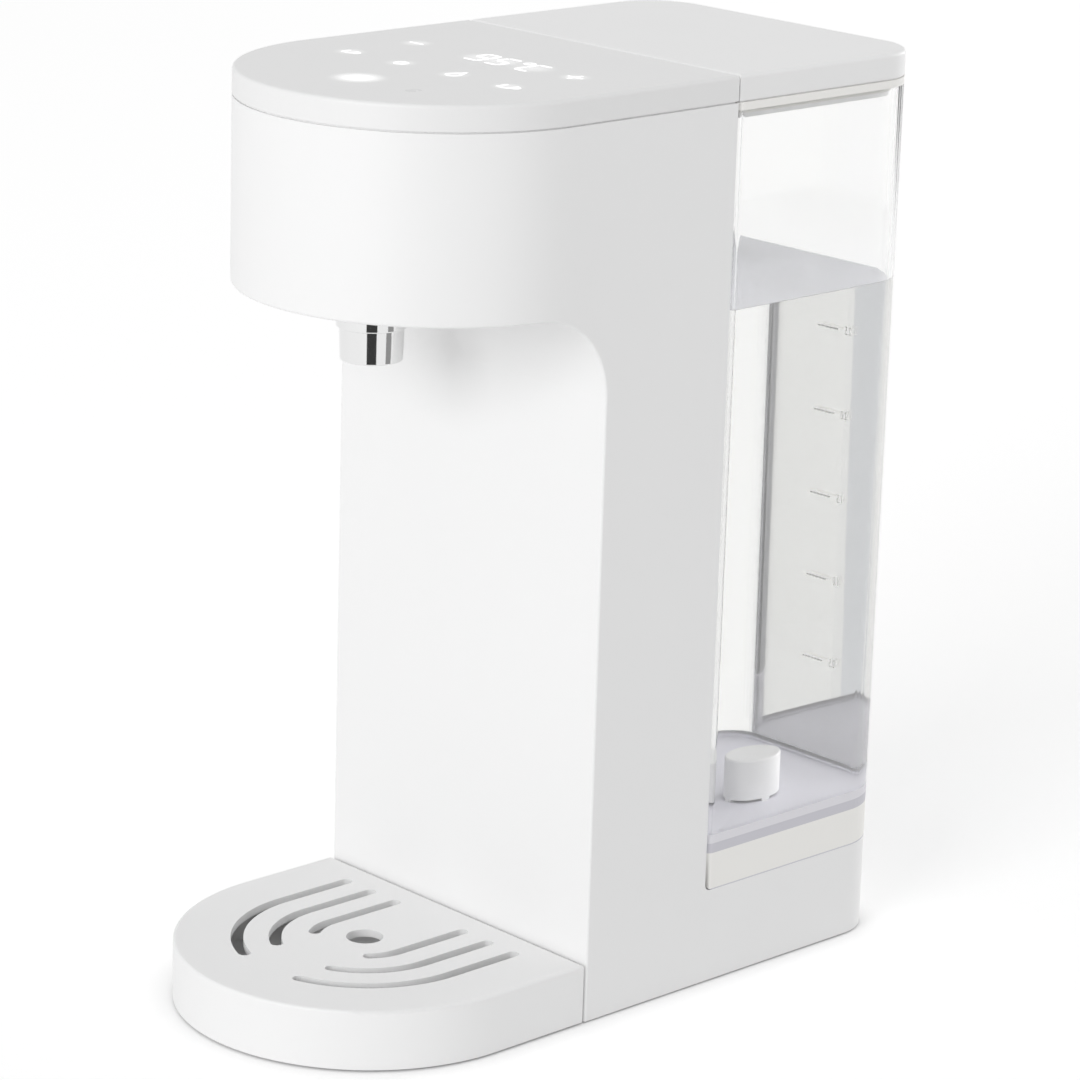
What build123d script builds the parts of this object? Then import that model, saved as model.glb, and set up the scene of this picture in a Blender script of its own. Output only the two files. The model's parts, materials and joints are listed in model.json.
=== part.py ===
from build123d import *
import os
from math import acos, cos, degrees, radians, sin

# Hot water dispenser in millimetres. The floor is z = 0, the front faces -Y, and the origin lies on
# the floor under the middle of the footprint.

# Outer sizes
WIDTH = 150.0               # column, head, tray and tank are equally wide
HEIGHT = 362.3              # floor to the top of the cover and the lid
TRAY_REACH = 121.4          # front of the drip tray to the column's front
HEAD_REACH = 95.6           # front of the head to the column's front
COLUMN_DEPTH = 63.6         # column's front to the tank bay
TANK_BAY_DEPTH = 105.6      # tank bay to the rear
TRAY_HEIGHT = 24.6          # floor to the tray's top
BASE_HEIGHT = 38.9          # floor to the ledge under the tank
HEAD_HEIGHT = 81.2          # underside of the head to the top
COVER_HEIGHT = 10.5         # top of the cover and the lid to their seam
FOOT_HEIGHT = 0.8           # floor to the housing, which stands close to it
REAR_CORNER = 23.0          # upright rear corners of base, tank and lid
BAY_FILLET = 33.0           # hollow corner between head and column
EDGE_RADIUS = 1.2           # broken edges round the cup bay
TOP_EDGE_RADIUS = 1.6       # top edges of the cover and the lid

# Walls, seams and clearances
WALL = 2.5
COVER_LIP_DEPTH = 6.0       # locating lip of the top cover, below its seam
COVER_LIP_WALL = 2.0
TOP_THICKNESS = 2.2
SEAM_GAP = 0.7              # height of the shadow groove under the cover and the lid
SEAM_DEPTH = 1.0
BAY_GAP = 0.7               # column to tank and cover to lid
BAY_CORNER = 3.0            # hollow corner between column and ledge
FIT = 0.3                   # fixed pieces that slip into each other
SNUG = 0.05                 # clamped round pieces and running shafts
MOVING_FIT = 0.4            # round pieces that lift or pull apart
BITE = 0.8                  # how far a boss or spigot runs into its wall
PAST = 1.0                  # how far a cutter runs past a face

# Rear panel and screws
PANEL_BORDER = 11.0         # side of the column to the opening
PANEL_RISE = 9.0            # ledge to the opening
PANEL_DROP = 18.0           # opening to the cover seam
PANEL_LIP = 8.0             # lip that the panel lies on
SCREW_RADIUS = 1.2
SCREW_HEAD_RADIUS = 2.6
SCREW_HEAD_HEIGHT = 1.4
SCREW_LENGTH = 9.0
SCREW_HOLE_PLAY = 0.1
PANEL_SCREW_INSET = 4.0     # screw line inside the panel's edge

# Bottom plate, feet and cable gland
PLATE_THICKNESS = 4.2
BOSS_RADIUS = 4.0
BOSS_HEIGHT = 14.0
BOSS_REAR_SETBACK = 36.0    # rear bosses, ahead of the rear wall
FOOT_RADIUS = 9.0
FOOT_STEM_RADIUS = 3.0
FOOT_INSET = 20.0           # foot centres, inside the plate's edges
GLAND_RADIUS = 6.0
GLAND_FLANGE_RADIUS = 9.0
GLAND_FLANGE = 3.0
GLAND_BORE_RADIUS = 3.2
GLAND_INSET = 35.0          # side of the base to the gland's axis
GLAND_Z = 18.0

# Nozzle, outlet chamber and hoses
SPOUT_LEAD = 3.0            # spout axis, ahead of the tray's arc centre
NOZZLE_RADIUS = 12.25
NOZZLE_TIP_RADIUS = 11.85
NOZZLE_COLLAR_RADIUS = 13.4
NOZZLE_COLLAR_HEIGHT = 12.6
NOZZLE_CUP_HEIGHT = 12.6
NOZZLE_BORE_RADIUS = 9.8
NOZZLE_NECK_RADIUS = 10.5
NOZZLE_EDGE = 0.5
NUT_ACROSS_CORNERS = 34.0
NUT_HEIGHT = 3.4
SPOUT_TUBE_RADIUS = 7.0
SPOUT_BORE_RADIUS = 5.0
SPOUT_RECESS = 6.0          # spout tube's end, inside the nozzle
CHAMBER_RADIUS = 18.0
CHAMBER_HEIGHT = 32.0
CHAMBER_WALL = 2.0
SENSOR_RADIUS = 3.0
SENSOR_FLANGE_RADIUS = 5.0
SENSOR_FLANGE = 2.0
SENSOR_LENGTH = 18.0
SENSOR_OFFSET = 7.0
HOSE_RADIUS = 5.0
HOSE_BORE_RADIUS = 3.0
SPIGOT_LENGTH = 8.0
RISE_BEND_RADIUS = 16.0
HEAD_BEND_RADIUS = 30.0
HEAD_BEND_Y_SHARE = 0.4     # where the outlet hose turns straight ahead, between heater and spout

# Pump and heater
PUMP_RADIUS = 14.0
PUMP_LENGTH = 14.0
PUMP_WALL = 2.0
PUMP_LIFT = 1.5             # pump above the bottom plate
MOTOR_RADIUS = 12.0
MOTOR_LENGTH = 22.0
SHAFT_RADIUS = 1.5
SHAFT_REACH = 8.0           # shaft inside the motor
IMPELLER_GAP = 1.5
IMPELLER_DISC = 2.0
VANE_COUNT = 6
VANE_WIDTH = 1.4
HUB_RADIUS = 3.2
SADDLE_WIDTH = 34.0
SADDLE_HEIGHT = 10.0
PUMP_HOSE_LENGTH = 20.0
HEATER_RADIUS = 14.0
HEATER_WALL = 2.5
HEATER_DROP = 46.0          # heater's top end below the head's underside
HEATER_TO_PANEL = 21.2      # heater axis to the rear panel
HEATER_CAP_RADIUS = 15.6
HEATER_CAP_HEIGHT = 10.0
HEATER_CAP_SKIRT = 6.0
CLAMP_WALL = 2.4
CLAMP_HEIGHT = 12.0
CLAMP_FOOT_WIDTH = 18.0
CLAMP_INSET = 26.0          # clamps, from the heater's ends
CUTOUT_RADIUS = 8.0
CUTOUT_DEPTH = 7.0
CUTOUT_STRAP_WALL = 1.2
CUTOUT_STRAP_HEIGHT = 8.0

# Boards, display and touch keys
BOARD_THICKNESS = 1.6
POWER_BOARD_WIDTH = 50.0
POWER_BOARD_HEIGHT = 90.0
POWER_BOARD_INSET = 20.0    # side of the column to the board's edge
POWER_BOARD_Z = 195.0
STANDOFF_HEIGHT = 8.0
STANDOFF_RADIUS = 3.0
STANDOFF_INSET = 5.0
PLUG_WIDTH = 16.0
PLUG_DEPTH = 8.0
PLUG_HEIGHT = 6.0
PLUG_DROP = 4.0             # plug below the power board's top edge
CABLE_WIDTH = 12.0
CABLE_THICKNESS = 0.8
RELAY_SIZE = 18.0
RELAY_DEPTH = 15.0
COIL_SIZE = 22.0
COIL_DEPTH = 18.0
CAPACITOR_RADIUS = 7.0
CAPACITOR_DEPTH = 20.0
COMPONENT_PITCH = 25.0      # rows of parts on the power board
LEVEL_BOARD_WIDTH = 20.0
LEVEL_BOARD_HEIGHT = 40.0
LEVEL_BOARD_RISE = 24.0     # above the ledge
DISPLAY_BOARD_INSET = 25.0  # side of the head to the board's edge
DISPLAY_BOARD_FRONT = 35.0  # board's edge behind the head's front
DISPLAY_BOARD_REAR = 9.7    # board's edge ahead of the column's rear
SPRING_HEIGHT = 4.5         # touch springs between board and cover
SPRING_RADIUS = 5.0
SPRING_WALL = 0.8
COVER_BOSS_RADIUS = 3.5
COVER_BOSS_INSET = 5.0
MODULE_WIDTH = 42.0
MODULE_DEPTH = 22.0
MODULE_X = 6.0              # display, beside the middle line
KEY_FRONT = 37.5            # first row of keys behind the head's front
KEY_ROW_PITCH = 33.5
KEY_INSET = 6.2             # outer keys of the second row, inside the board's edge
SIDE_KEY_INSET = 14.3       # second key of the first row, inside the board's bosses
EDGE_KEY_INSET = 6.0        # keys beside the display, inside the board's edge

# Tank, valve and dock
TANK_WALL = 2.5
TANK_FLOOR = 5.2
TANK_FLOOR_RISE = 15.4      # ledge to the floor's underside
TANK_FRONT_CORNER = 3.0
TANK_FOOT_CORNER = 3.5      # lower front corner seen from the side
TANK_INNER_CORNER = 1.0
RIM_HEIGHT = 3.0
RIM_EXTRA = 2.0             # rim, thicker than the wall
LID_WALL = 2.5
LID_LIP_FIT = 1.6
LID_LIP_WALL = 2.0
LID_LIP_DEPTH = 7.0
GASKET_DROP = 2.0
GASKET_HEIGHT = 3.0
VALVE_X = 28.0
VALVE_HOLE_RADIUS = 7.0
CAP_RADIUS = 13.5
CAP_HEIGHT = 18.0
CAP_WALL = 2.0
CAP_GAP = 1.2               # water inlet under the cap
CAP_LEG_WIDTH = 4.0
CAP_LEG_COUNT = 4
CAP_EDGE = 1.0
STEM_RADIUS = 2.5
STEM_DROP = 11.5            # stem below the tank's floor
STEM_REACH = 11.5           # stem above the tank's floor
STEM_FLANGE_RADIUS = 9.5
STEM_FLANGE = 1.6
STEM_SEAL = 1.6
SLEEVE_RADIUS = 4.0
SLEEVE_LENGTH = 7.0
VALVE_SPRING_RADIUS = 6.0
VALVE_WIRE_RADIUS = 0.6
VALVE_SPRING_TURNS = 5.0
COLLAR_RADIUS = 12.0
COLLAR_WALL = 2.5
COLLAR_DROP = 10.0
DOCK_FLANGE_RADIUS = 20.0
DOCK_FLANGE = 2.1
DOCK_CUP_WALL = 2.5
DOCK_CUP_HEIGHT = 9.0
DOCK_POST_RADIUS = 2.0
DOCK_POST_GAP = 0.5         # post below the valve stem
DOCK_DRAIN_RADIUS = 1.8
DOCK_DRAIN_PITCH = 5.5
DOCK_DRAIN_COUNT = 4
DOCK_NECK_RADIUS = 10.0
DOCK_NECK_WALL = 2.0
DOCK_NECK_DROP = 7.0        # neck below the hose axis
DOCK_SEAL_GAP = 0.5

# Drip tray
TRAY_GAP = 1.2              # tray to column
TRAY_FLOOR_GAP = 1.0        # cover's lower edge above the floor
TRAY_TOP = 3.0
TRAY_EDGE_RADIUS = 1.2
BASIN_WALL = 2.0
BASIN_FIT = 0.5
BASIN_FOOT_RADIUS = 7.0
BASIN_FOOT_INSET = 30.0     # side of the tray to the rear feet
SLOT_COUNT = 3
SLOT_WIDTH = 5.0
SLOT_FIRST_RADIUS = 20.0
SLOT_PITCH = 14.75
SLOT_REAR_MARGIN = 14.7     # slot ends ahead of the column
SLOT_BRIDGE = 16.25         # slot ends beside the middle line
DRAIN_RADIUS = 7.25
GRILLE_LEAD = 1.0           # drain hole and slot bends, ahead of the tray's arc centre
TAB_INSET = 25.0            # side of the tray to the tabs
TAB_WIDTH = 20.0
TAB_HEIGHT = 5.0
TAB_REACH = 5.0             # tab inside the column
TAB_Z = 8.0

# Places worked out from the sizes
HALF = WIDTH / 2
DEPTH = TRAY_REACH + COLUMN_DEPTH + TANK_BAY_DEPTH
FRONT_Y = -DEPTH / 2
REAR_Y = DEPTH / 2
COLUMN_FRONT = FRONT_Y + TRAY_REACH
COLUMN_REAR = COLUMN_FRONT + COLUMN_DEPTH
PANEL_INNER = COLUMN_REAR - WALL
HEAD_FRONT = COLUMN_FRONT - HEAD_REACH
HEAD_ARC_Y = HEAD_FRONT + HALF
TRAY_ARC_Y = FRONT_Y + HALF
SPOUT = (0.0, TRAY_ARC_Y - SPOUT_LEAD)
GRILLE = (0.0, TRAY_ARC_Y - GRILLE_LEAD)
HEAD_Z = HEIGHT - HEAD_HEIGHT
SEAM_Z = HEIGHT - COVER_HEIGHT
COVER_Z = SEAM_Z + SEAM_GAP
PLATE_TOP = FOOT_HEIGHT + PLATE_THICKNESS
PANEL_Z = (BASE_HEIGHT + PANEL_RISE, SEAM_Z - PANEL_DROP)
PANEL_HALF = HALF - PANEL_BORDER
TANK_FRONT = COLUMN_REAR + BAY_GAP
FLOOR_LOW = BASE_HEIGHT + TANK_FLOOR_RISE
FLOOR_TOP = FLOOR_LOW + TANK_FLOOR
RIM_Z = SEAM_Z - RIM_HEIGHT
VALVE = (VALVE_X, (TANK_FRONT + REAR_Y) / 2)
DOCK_FLOOR = BASE_HEIGHT + DOCK_FLANGE
GLAND = (GLAND_INSET - HALF, GLAND_Z)
PUMP_Z = PLATE_TOP + PUMP_LIFT + PUMP_RADIUS
HEATER = (VALVE_X, PANEL_INNER - HEATER_TO_PANEL)
PUMP_Y = (HEATER[1] - PUMP_LENGTH / 2, HEATER[1] + PUMP_LENGTH / 2)
PUMP_AXIS = (VALVE_X, PUMP_Z)
PUMP_OUTLET_Z = PUMP_Z + PUMP_RADIUS + SPIGOT_LENGTH
HEATER_INLET_Z = PUMP_OUTLET_Z + PUMP_HOSE_LENGTH
HEATER_Z = (HEATER_INLET_Z + SPIGOT_LENGTH + HEATER_CAP_HEIGHT, HEAD_Z - HEATER_DROP)
HEATER_OUTLET_Z = HEATER_Z[1] + HEATER_CAP_HEIGHT + SPIGOT_LENGTH
CHAMBER_Z = HEAD_Z + WALL + NUT_HEIGHT
CHAMBER_TOP = CHAMBER_Z + CHAMBER_HEIGHT
CHAMBER_INLET_Z = CHAMBER_Z + CHAMBER_HEIGHT / 2
CHAMBER_INLET_Y = SPOUT[1] + CHAMBER_RADIUS + SPIGOT_LENGTH
POWER_BOARD_X = POWER_BOARD_INSET + POWER_BOARD_WIDTH / 2 - HALF
BOARD_Y = PANEL_INNER - STANDOFF_HEIGHT - BOARD_THICKNESS
PLUG_Y = BOARD_Y - PLUG_DEPTH / 2
PLUG_TOP_Z = POWER_BOARD_Z + POWER_BOARD_HEIGHT / 2 - PLUG_DROP
DISPLAY_BOARD_HALF = HALF - DISPLAY_BOARD_INSET
DISPLAY_TOP = HEIGHT - TOP_THICKNESS - SPRING_HEIGHT
DISPLAY_LOW = DISPLAY_TOP - BOARD_THICKNESS
DISPLAY_Y = (HEAD_FRONT + DISPLAY_BOARD_FRONT, COLUMN_REAR - DISPLAY_BOARD_REAR)
KEY_ROWS = [HEAD_FRONT + KEY_FRONT + row * KEY_ROW_PITCH for row in range(3)]
TRAY_REAR = COLUMN_FRONT - TRAY_GAP
BASIN_REAR = TRAY_REAR - WALL - BASIN_FIT
BASIN_HALF = HALF - WALL - BASIN_FIT
BASIN_TOP = TRAY_HEIGHT - TRAY_TOP
SIDES = (-1, 1)
UPWARD = (Align.CENTER, Align.CENTER, Align.MIN)


def block(x, y, z):
    """Box between the low and high ends given for each axis."""
    spans = (x, y, z)
    middle = [(low + high) / 2 for low, high in spans]
    return Pos(*middle) * Box(*[high - low for low, high in spans])


def rod(radius, z, at):
    """Upright cylinder at a plan point."""
    return Pos(at[0], at[1], z[0]) * Cylinder(radius, z[1] - z[0], align=UPWARD)


def tube(outer, inner, z, at):
    return rod(outer, z, at) - rod(inner, z, at)


def rod_y(radius, y, at):
    """Cylinder along Y at a point (x, z)."""
    along = Plane((at[0], y[0], at[1]), x_dir=(1, 0, 0), z_dir=(0, 1, 0))
    return along * Cylinder(radius, y[1] - y[0], align=UPWARD)


def round_front(half, arc_y, rear_y, z):
    """Slab with a half-round front and a straight rear."""
    sides = Polyline((half, arc_y), (half, rear_y), (-half, rear_y), (-half, arc_y))
    nose = ThreePointArc((-half, arc_y), (0, arc_y - half), (half, arc_y))
    return extrude(Pos(0, 0, z[0]) * make_face([sides, nose]), amount=z[1] - z[0], dir=(0, 0, 1))


def round_rear(half, y, z, rear_radius, front_radius=0.0):
    """Slab with rounded rear corners and, where asked, rounded front corners."""
    plan = Pos(0, sum(y) / 2) * Rectangle(2 * half, y[1] - y[0])
    plan = fillet(plan.vertices().sort_by(Axis.Y)[2:], rear_radius)
    if front_radius > 0:
        plan = fillet(plan.vertices().sort_by(Axis.Y)[:2], front_radius)
    return extrude(Pos(0, 0, z[0]) * plan, amount=z[1] - z[0], dir=(0, 0, 1))


def head_slab(inset, z):
    """The head's plan, moved inwards."""
    return round_front(HALF - inset, HEAD_ARC_Y, COLUMN_REAR - inset, z)


def lid_slab(inset, z):
    """The lid's plan, moved inwards."""
    return round_rear(HALF - inset, (TANK_FRONT + inset, REAR_Y - inset), z, REAR_CORNER - inset)


def tank_slab(inset, z):
    """The tank's plan, moved inwards."""
    front = max(TANK_FRONT_CORNER - inset, TANK_INNER_CORNER)
    return round_rear(HALF - inset, (TANK_FRONT + inset, REAR_Y - inset), z, REAR_CORNER - inset, front)


def tray_slab(inset, rear_y, z):
    """The drip tray's plan, moved inwards at its sides and front."""
    return round_front(HALF - inset, TRAY_ARC_Y, rear_y, z)


def top_edges(shape, z):
    return shape.edges().filter_by_position(Axis.Z, z - SNUG, z + SNUG)


# Housing

def column_and_head(inset, z):
    """Column with the head over the cup bay, moved inwards by inset."""
    front = COLUMN_FRONT + inset
    under = HEAD_Z + inset
    nose = HEAD_FRONT - HALF
    rear = COLUMN_REAR + PAST
    profile = make_face(Polyline((rear, z[0]), (rear, z[1]), (nose, z[1]), (nose, under),
                                 (front, under), (front, z[0]), close=True))
    corner = profile.vertices().sort_by_distance((front, under))[0]
    profile = fillet(corner, BAY_FILLET + inset)
    side = extrude(Plane.YZ * profile, amount=WIDTH, both=True)
    return side & head_slab(inset, (z[0] - PAST, z[1] + PAST))


def bay_edges(shape):
    """The outline of the cup bay on both sides: head's lower edge, hollow corner and column edges."""
    def along_bay(edge):
        box = edge.bounding_box()
        crosses = edge.geom_type == GeomType.LINE and box.size.X > HALF
        wide = max(abs(box.min.X), abs(box.max.X)) > HALF - BAY_FILLET
        ahead = box.max.Y < COLUMN_FRONT + SNUG
        below = box.max.Z < HEAD_Z + SNUG and box.max.Z > FOOT_HEIGHT + PAST
        return wide and ahead and below and not crosses
    return shape.edges().filter_by(along_bay)


def plate_boss_points():
    """Screw bosses in the corners of the base, against the walls."""
    x = HALF - WALL - BOSS_RADIUS + BITE
    rows = (COLUMN_FRONT + WALL + BOSS_RADIUS - BITE, REAR_Y - BOSS_REAR_SETBACK)
    return [(side * x, y) for side in SIDES for y in rows]


def panel_screw_points():
    """Screw places (x, z) along both edges of the rear panel."""
    x = PANEL_HALF - PANEL_SCREW_INSET
    low, high = PANEL_Z[0] + PANEL_SCREW_INSET, PANEL_Z[1] - PANEL_SCREW_INSET
    return [(side * x, z) for side in SIDES for z in (low, (low + high) / 2, high)]


def tab_spans(side, play):
    """Where a tray tab runs into the column, with play round it."""
    x = side * (HALF - TAB_INSET)
    return ((x - TAB_WIDTH / 2 - play, x + TAB_WIDTH / 2 + play), (TAB_Z - play, TAB_Z + TAB_HEIGHT + play))


def main_housing():
    body = column_and_head(0.0, (FOOT_HEIGHT, SEAM_Z))
    body = fillet(bay_edges(body), EDGE_RADIUS)
    body += round_rear(HALF, (COLUMN_REAR - PAST, REAR_Y), (FOOT_HEIGHT, BASE_HEIGHT), REAR_CORNER)
    bay_corner = body.edges().filter_by(Axis.X).sort_by_distance((0, COLUMN_REAR, BASE_HEIGHT))[0]
    body = fillet(bay_corner, BAY_CORNER)
    body += head_slab(SEAM_DEPTH, (SEAM_Z, COVER_Z))
    body -= column_and_head(WALL, (0.0, HEIGHT))
    base_y = (PANEL_INNER - PAST, REAR_Y - WALL)
    body -= round_rear(HALF - WALL, base_y, (0.0, BASE_HEIGHT - WALL), REAR_CORNER - WALL)
    lip_half = PANEL_HALF + PANEL_LIP
    lip_y = (PANEL_INNER - WALL, PANEL_INNER)
    body += block((-lip_half, lip_half), lip_y, (PANEL_Z[0] - PANEL_LIP, PANEL_Z[1] + PANEL_LIP))
    window = PANEL_HALF - PANEL_LIP
    window_z = (PANEL_Z[0] + PANEL_LIP, PANEL_Z[1] - PANEL_LIP)
    body -= block((-window, window), (lip_y[0] - PAST, COLUMN_REAR + PAST), window_z)
    body -= block((-PANEL_HALF, PANEL_HALF), (PANEL_INNER, COLUMN_REAR + PAST), PANEL_Z)
    for x, z in panel_screw_points():
        body -= rod_y(SCREW_RADIUS + SNUG, (lip_y[0] - PAST, COLUMN_REAR), (x, z))
    for at in plate_boss_points():
        body += rod(BOSS_RADIUS, (PLATE_TOP, PLATE_TOP + BOSS_HEIGHT), at)
        body -= rod(SCREW_RADIUS + SNUG, (PLATE_TOP - PAST, PLATE_TOP + SCREW_LENGTH), at)
    body -= rod(NOZZLE_NECK_RADIUS + FIT, (HEAD_Z - PAST, HEAD_Z + WALL + PAST), SPOUT)
    body -= rod(DOCK_NECK_RADIUS + FIT, (BASE_HEIGHT - WALL - PAST, BASE_HEIGHT + PAST), VALVE)
    body -= rod_y(GLAND_RADIUS + FIT, (REAR_Y - WALL - PAST, REAR_Y + PAST), GLAND)
    for side in SIDES:
        tab_x, tab_z = tab_spans(side, MOVING_FIT)
        body -= block(tab_x, (COLUMN_FRONT - PAST, COLUMN_FRONT + WALL + PAST), tab_z)
    return body


def rear_panel():
    y = (PANEL_INNER, COLUMN_REAR)
    z = (PANEL_Z[0] + FIT, PANEL_Z[1] - FIT)
    panel = block((FIT - PANEL_HALF, PANEL_HALF - FIT), y, z)
    for at in panel_screw_points():
        panel -= rod_y(SCREW_RADIUS + SCREW_HOLE_PLAY, y, at)
        panel -= rod_y(SCREW_HEAD_RADIUS + SCREW_HOLE_PLAY, (y[1] - SCREW_HEAD_HEIGHT, y[1] + PAST), at)
    return panel


def rear_panel_screws():
    head_y = (COLUMN_REAR - SCREW_HEAD_HEIGHT, COLUMN_REAR)
    shank_y = (PANEL_INNER - WALL, head_y[0])
    return [rod_y(SCREW_HEAD_RADIUS, head_y, at) + rod_y(SCREW_RADIUS, shank_y, at)
            for at in panel_screw_points()]


def top_cover():
    cover = head_slab(0.0, (COVER_Z, HEIGHT))
    cover = fillet(top_edges(cover, HEIGHT), TOP_EDGE_RADIUS)
    lip = WALL + FIT
    cover += head_slab(lip, (SEAM_Z - COVER_LIP_DEPTH, COVER_Z))
    cover -= head_slab(lip + COVER_LIP_WALL, (HEAD_Z, HEIGHT - TOP_THICKNESS))
    for at in board_boss_points():
        cover += rod(COVER_BOSS_RADIUS, (DISPLAY_TOP, HEIGHT - TOP_THICKNESS), at)
    return cover


def bottom_plate():
    edge = WALL + FIT
    y = (COLUMN_FRONT + edge, REAR_Y - edge)
    plate = round_rear(HALF - edge, y, (FOOT_HEIGHT, PLATE_TOP), REAR_CORNER - edge)
    for at in plate_boss_points():
        plate -= rod(SCREW_RADIUS + SCREW_HOLE_PLAY, (0.0, HEIGHT), at)
        head = (FOOT_HEIGHT - PAST, FOOT_HEIGHT + SCREW_HEAD_HEIGHT)
        plate -= rod(SCREW_HEAD_RADIUS + SCREW_HOLE_PLAY, head, at)
    for at in foot_points():
        plate -= rod(FOOT_STEM_RADIUS + SCREW_HOLE_PLAY, (0.0, HEIGHT), at)
    return plate


def bottom_screws():
    head_z = (FOOT_HEIGHT, FOOT_HEIGHT + SCREW_HEAD_HEIGHT)
    shank_z = (head_z[1], PLATE_TOP + SCREW_LENGTH)
    return [rod(SCREW_HEAD_RADIUS, head_z, at) + rod(SCREW_RADIUS, shank_z, at)
            for at in plate_boss_points()]


def foot_points():
    rows = (COLUMN_FRONT + FOOT_INSET, REAR_Y - FOOT_INSET)
    return [(side * (HALF - FOOT_INSET), y) for side in SIDES for y in rows]


def rubber_feet():
    return [rod(FOOT_RADIUS, (0.0, FOOT_HEIGHT), at) + rod(FOOT_STEM_RADIUS, (FOOT_HEIGHT, PLATE_TOP), at)
            for at in foot_points()]


def cable_gland():
    wall_y = (REAR_Y - WALL, REAR_Y)
    gland = rod_y(GLAND_RADIUS, wall_y, GLAND)
    gland += rod_y(GLAND_FLANGE_RADIUS, (wall_y[0] - GLAND_FLANGE, wall_y[0]), GLAND)
    return gland - rod_y(GLAND_BORE_RADIUS, (wall_y[0] - GLAND_FLANGE, REAR_Y), GLAND)


# Nozzle and outlet

def nozzle_ring():
    collar_z = HEAD_Z - NOZZLE_COLLAR_HEIGHT
    tip_z = collar_z - NOZZLE_CUP_HEIGHT
    cup = Pos(*SPOUT, tip_z) * Cone(NOZZLE_TIP_RADIUS, NOZZLE_RADIUS, NOZZLE_CUP_HEIGHT, align=UPWARD)
    cup = fillet(top_edges(cup, tip_z), NOZZLE_EDGE)
    collar = rod(NOZZLE_COLLAR_RADIUS, (collar_z, HEAD_Z), SPOUT)
    collar = fillet(top_edges(collar, collar_z), NOZZLE_EDGE)
    ring = cup + collar + rod(NOZZLE_NECK_RADIUS, (HEAD_Z, CHAMBER_Z), SPOUT)
    ring -= rod(NOZZLE_BORE_RADIUS, (tip_z, HEAD_Z), SPOUT)
    return ring - rod(SPOUT_TUBE_RADIUS + FIT, (tip_z, CHAMBER_Z), SPOUT)


def nozzle_nut():
    hexagon = Pos(*SPOUT, HEAD_Z + WALL) * RegularPolygon(NUT_ACROSS_CORNERS / 2, 6)
    nut = extrude(hexagon, amount=NUT_HEIGHT, dir=(0, 0, 1))
    return nut - rod(NOZZLE_NECK_RADIUS + SNUG, (HEAD_Z, CHAMBER_Z), SPOUT)


def spout_tube():
    tip_z = HEAD_Z - NOZZLE_COLLAR_HEIGHT - NOZZLE_CUP_HEIGHT + SPOUT_RECESS
    return tube(SPOUT_TUBE_RADIUS, SPOUT_BORE_RADIUS, (tip_z, CHAMBER_Z), SPOUT)


def sensor_point():
    return (SPOUT[0] + SENSOR_OFFSET, SPOUT[1])


def outlet_chamber():
    axis = (SPOUT[0], CHAMBER_INLET_Z)
    chamber = rod(CHAMBER_RADIUS, (CHAMBER_Z, CHAMBER_TOP), SPOUT)
    chamber += rod_y(HOSE_RADIUS, (SPOUT[1], CHAMBER_INLET_Y), axis)
    inside = (CHAMBER_Z + CHAMBER_WALL, CHAMBER_TOP - CHAMBER_WALL)
    chamber -= rod(CHAMBER_RADIUS - CHAMBER_WALL, inside, SPOUT)
    chamber -= rod_y(HOSE_BORE_RADIUS, (SPOUT[1], CHAMBER_INLET_Y), axis)
    chamber -= rod(SPOUT_BORE_RADIUS, (CHAMBER_Z, inside[0]), SPOUT)
    return chamber - rod(SENSOR_RADIUS + SNUG, (inside[1], CHAMBER_TOP), sensor_point())


def outlet_sensor():
    flange_top = CHAMBER_TOP + SENSOR_FLANGE
    sensor = rod(SENSOR_RADIUS, (flange_top - SENSOR_LENGTH, flange_top), sensor_point())
    return sensor + rod(SENSOR_FLANGE_RADIUS, (CHAMBER_TOP, flange_top), sensor_point())


# Boards and touch keys

def board_boss_points():
    x = DISPLAY_BOARD_HALF - COVER_BOSS_INSET
    rows = (DISPLAY_Y[0] + COVER_BOSS_INSET, DISPLAY_Y[1] - COVER_BOSS_INSET)
    return [(side * x, y) for side in SIDES for y in rows]


def key_points():
    side_key = DISPLAY_BOARD_HALF - COVER_BOSS_INSET - SIDE_KEY_INSET
    first = [(0.0, KEY_ROWS[0]), (side_key, KEY_ROWS[0])]
    reach = DISPLAY_BOARD_HALF - KEY_INSET
    second = [(side * reach / gaps, KEY_ROWS[1]) for side in SIDES for gaps in (1, 3)]
    third = [(side * (DISPLAY_BOARD_HALF - EDGE_KEY_INSET), KEY_ROWS[2]) for side in SIDES]
    return first + second + third


def plug_block(z):
    """Cable plug with its width centred on the power board."""
    x = (POWER_BOARD_X - PLUG_WIDTH / 2, POWER_BOARD_X + PLUG_WIDTH / 2)
    return block(x, (BOARD_Y - PLUG_DEPTH, BOARD_Y), z)


def display_board():
    board = block((-DISPLAY_BOARD_HALF, DISPLAY_BOARD_HALF), DISPLAY_Y, (DISPLAY_LOW, DISPLAY_TOP))
    return board + plug_block((DISPLAY_LOW - PLUG_HEIGHT, DISPLAY_LOW))


def display_module():
    y = KEY_ROWS[2]
    z = (DISPLAY_TOP, HEIGHT - TOP_THICKNESS - FIT)
    x = (MODULE_X - MODULE_WIDTH / 2, MODULE_X + MODULE_WIDTH / 2)
    return block(x, (y - MODULE_DEPTH / 2, y + MODULE_DEPTH / 2), z)


def touch_springs():
    z = (DISPLAY_TOP, HEIGHT - TOP_THICKNESS)
    return [tube(SPRING_RADIUS, SPRING_RADIUS - SPRING_WALL, z, at) for at in key_points()]


def display_cable():
    x = (POWER_BOARD_X - CABLE_WIDTH / 2, POWER_BOARD_X + CABLE_WIDTH / 2)
    y = (PLUG_Y - CABLE_THICKNESS / 2, PLUG_Y + CABLE_THICKNESS / 2)
    return block(x, y, (PLUG_TOP_Z, DISPLAY_LOW - PLUG_HEIGHT))


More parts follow.
